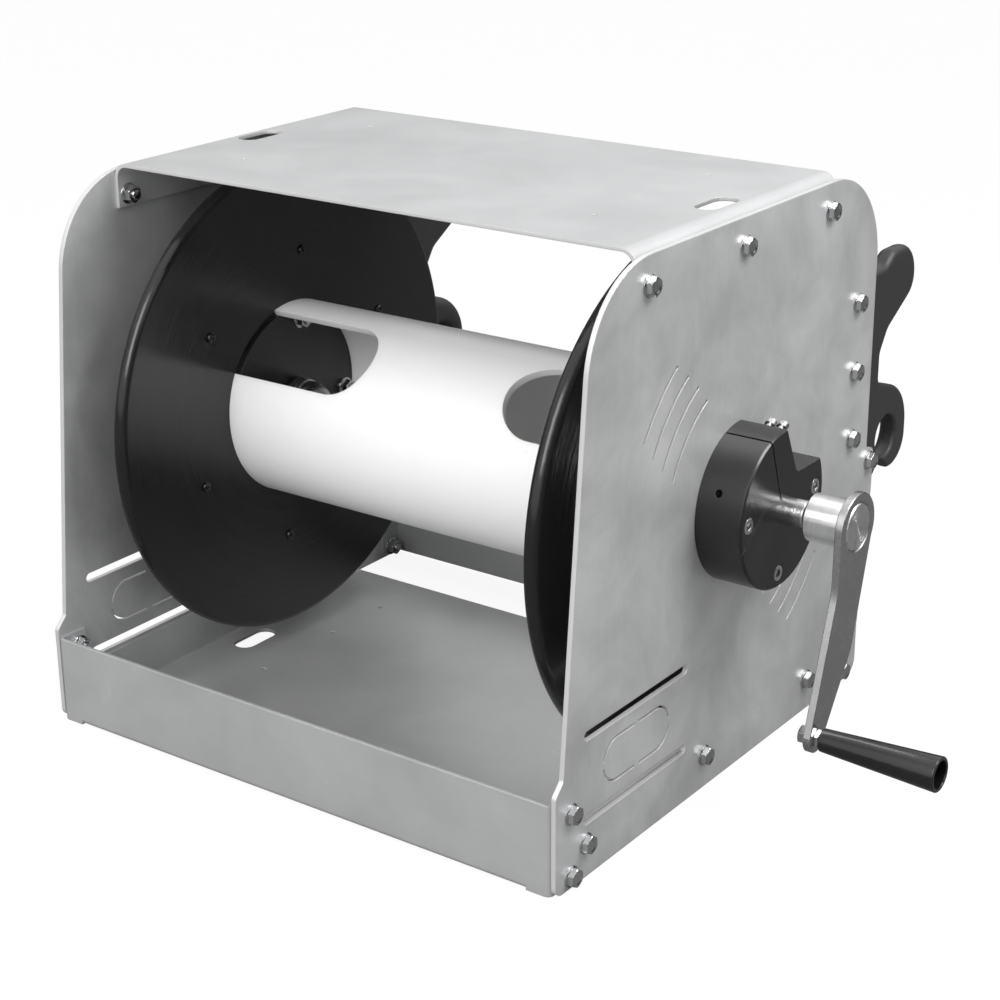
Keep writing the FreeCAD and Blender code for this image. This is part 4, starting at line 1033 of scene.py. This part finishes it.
def weld_bead(first, last, root, bow, ripple):
    """Ring through toes (x, r); bowed by sin(pi u), rippled by a wave of angle plus lag."""
    u = np.linspace(0, 1, weld_sections)[:, None]
    v = np.linspace(0, 2 * np.pi, weld_turns, endpoint=False)[None, :]
    run_x, run_r = last[0] - first[0], last[1] - first[1]
    arch = np.sin(np.pi * u)
    uneven = 0.7 + 0.3 * np.sin(5 * v + 1) * np.sin(3 * v)
    lift = arch * (bow + ripple * uneven * np.abs(np.sin(ripples / 2 * v + ripple_lag * arch)))
    lift = lift / np.hypot(run_x, run_r)
    x, r = first[0] + run_x * u - run_r * lift, first[1] + run_r * u + run_x * lift
    x = np.concatenate([x, np.full((1, weld_turns), root[0])])
    r = np.concatenate([r, np.full((1, weld_turns), root[1])])
    points = np.stack([x, r * np.cos(v), axis_height + r * np.sin(v)], axis=-1)
    return points, ring_faces(weld_sections + 1, weld_turns, closed=True)


arm_weld = weld_bead((0.34285, 0.0185), (0.34585, 0.0215), root=(0.34585, 0.0185),
                     bow=0.0004, ripple=0.0007)
stand_in("crank_weld", arm_weld, weld_metal, "drum")
neck_weld = weld_bead((0.3111, 0.0109), (0.3149, 0.0118), root=(0.3149, 0.0100),
                      bow=0.0003, ripple=0.0006)
piece_from("neck_weld_bead", *neck_weld, weld_metal, "drum")

# %% [markdown]
# Pipe fittings
# The hose's nipple and the inlet's adapter are the ends that a plumber would look at.
# The nipple gets its tapered pipe thread, the adapter its chamfered hexagon and the
# thread in its mouth. Both are lathe grids, laid along Y and along Z.

# %% Nipple and adapter
pipe_pitch = 0.0018
pipe_thread = 0.0011
thread_row = 0.00035
nipple_place, nipple_bore, nipple_radius = (-0.159, -0.019, axis_height), 0.01045, 0.01335
nipple_start, nipple_end, nipple_thread_rows, taper_per_row = 0.018, 0.040, 58, 0.00001
nipple_rows = [(0.0, nipple_bore), (0.0, nipple_radius), (nipple_start, nipple_radius)]
nipple_rows += [(nipple_start + step * thread_row, nipple_radius - step * taper_per_row, 0, 1)
                for step in range(nipple_thread_rows)]
nipple_rows += [(nipple_end - 0.0008, 0.0118), (nipple_end, 0.0112), (nipple_end, nipple_bore)]
adapter_place, adapter_flats, neck_bore = (-0.3177, 0.0, 0.165), 0.038, 0.00745
mouth_start, mouth_radius, mouth_thread_rows = 0.019, 0.0128, 52
adapter_rows = [(0.0, 0.0132), (0.0, 0.0186), (0.0008, 0.0200, adapter_flats),
                (0.0016, 0.0216, adapter_flats), (0.0224, 0.0216, adapter_flats),
                (0.0232, 0.0200, adapter_flats), (0.024, 0.0186), (0.024, 0.01037),
                (0.036, 0.01037), (0.036, neck_bore), (0.020, neck_bore), (0.020, 0.0120)]
adapter_rows += [(mouth_start - step * thread_row, mouth_radius, 0, 1)
                 for step in range(mouth_thread_rows)]
to_y, to_z = ((0, -1, 0), (1, 0, 0), (0, 0, 1)), ((0, 0, 1), (0, -1, 0), (1, 0, 0))
for name, rows, laying, place, body in (
        ("outlet_nipple", nipple_rows, to_y, nipple_place, "drum"),
        ("inlet_adapter", adapter_rows, to_z, adapter_place, "swivel")):
    laid = turned(rows, 1, round_turns, pipe_pitch, pipe_thread) @ np.array(laying)
    faces = ring_faces(len(laid), round_turns, closed=True)
    stand_in(name, repeated(laid, faces, [place]), fitting_steel, body)

# %% [markdown]
# The floor and the light
# The reel stands on a pale floor in a white studio. The camera sees the floor and the
# sky white. The light on the reel comes from a grey floor, a room that is brighter in
# front than behind, and three soft lamps. Shiny metal mirrors bright panels above and in
# front, with dark card between them, because contrast is what makes metal look polished.

# %% Floor
floor_half, floor_level = 12.0, -0.0002
floor_white, floor_grey, floor_mirrored = grey(0.97), grey(0.34), grey(0.15)
floor_glow = 0.90

floor_mesh = bpy.data.meshes.new("floor")
floor_corners = [(x * floor_half, y * floor_half, floor_level)
                 for x, y in ((-1, -1), (1, -1), (1, 1), (-1, 1))]
floor_mesh.from_pydata(floor_corners, [], [(0, 1, 2, 3)])
floor = bpy.data.objects.new("floor", floor_mesh)
bpy.context.scene.collection.objects.link(floor)
floor_paint, tree, shader = finish("floor_paint", Roughness=0.8, Specular_IOR_Level=0.1)
path = add(tree, "ShaderNodeLightPath").outputs
seen = maths(tree, "MAXIMUM", path["Is Camera Ray"], path["Is Transmission Ray"])
bounced = blend(tree, path["Is Glossy Ray"], floor_grey, floor_mirrored)
wire(tree, shader, Base_Color=blend(tree, seen, bounced, floor_white))
glow = add(tree, "ShaderNodeEmission", Strength=1.0)
lit = add(tree, "ShaderNodeMixShader")
glow_share = maths(tree, "MULTIPLY", seen, floor_glow)
for socket, source in zip(lit.inputs, (glow_share, shader.outputs[0], glow.outputs[0])):
    feed(tree, socket, source)
wire(tree, tree.nodes["Material Output"], Surface=lit.outputs[0])
floor_mesh.materials.append(floor_paint)
print("floor", floor_half * 2, "m wide")

# %% World
room_front, room_back = grey(1.12), grey(0.58)
card_dark, card_white = grey(0.08), grey(1.0)

world = bpy.data.worlds.new("studio")
bpy.context.scene.world = world
world.use_nodes = True
tree = world.node_tree
path = add(tree, "ShaderNodeLightPath").outputs
sky = add(tree, "ShaderNodeTexCoord").outputs["Generated"]
parts = add(tree, "ShaderNodeSeparateXYZ", Vector=sky).outputs
overhead = above(tree, parts["Z"], level=0.22, gain=4.0)
in_front = above(tree, maths(tree, "MULTIPLY", parts["Y"], -1.0), level=0.45, gain=3.0)
panels = blend(tree, maths(tree, "MAXIMUM", overhead, in_front), card_dark, card_white)
from_front = sloped(tree, parts["Y"], slope=0.8, start=maths(tree, "MULTIPLY", parts["X"], 0.3))
towards_front = maths(tree, "SUBTRACT", 0.5, from_front, clamp=True)
room = blend(tree, towards_front, room_back, room_front)
studio = blend(tree, path["Is Glossy Ray"], room, panels)
plain = maths(tree, "MAXIMUM", path["Is Camera Ray"], path["Is Transmission Ray"])
wire(tree, tree.nodes["Background"], Color=blend(tree, plain, studio, card_white))
print("world", world.name)

# %% Lamps
# Each lamp has a place, a point that it aims at, the side of its square and its power.
reel_middle = (0.0, 0.0, 0.2)
crank_side = (0.2, 0.0, 0.35)
lamps = {"top_lamp": ((-0.3, -0.3, 2.6), reel_middle, 1.6, 1.2),
         "front_lamp": ((0.25, -2.35, 1.7), reel_middle, 1.5, 36.0),
         "side_lamp": ((1.10, 0.25, 1.40), crank_side, 0.8, 16.0)}
for name, (place, aim, size, power) in lamps.items():
    data = bpy.data.lights.new(name, "AREA")
    data.shape = "SQUARE"
    data.size = size
    data.energy = power
    lamp = bpy.data.objects.new(name, data)
    bpy.context.scene.collection.objects.link(lamp)
    lamp.location = place
    lamp.rotation_euler = (Vector(aim) - Vector(place)).to_track_quat("-Z", "Y").to_euler()
    print(name, "of", power, "W")
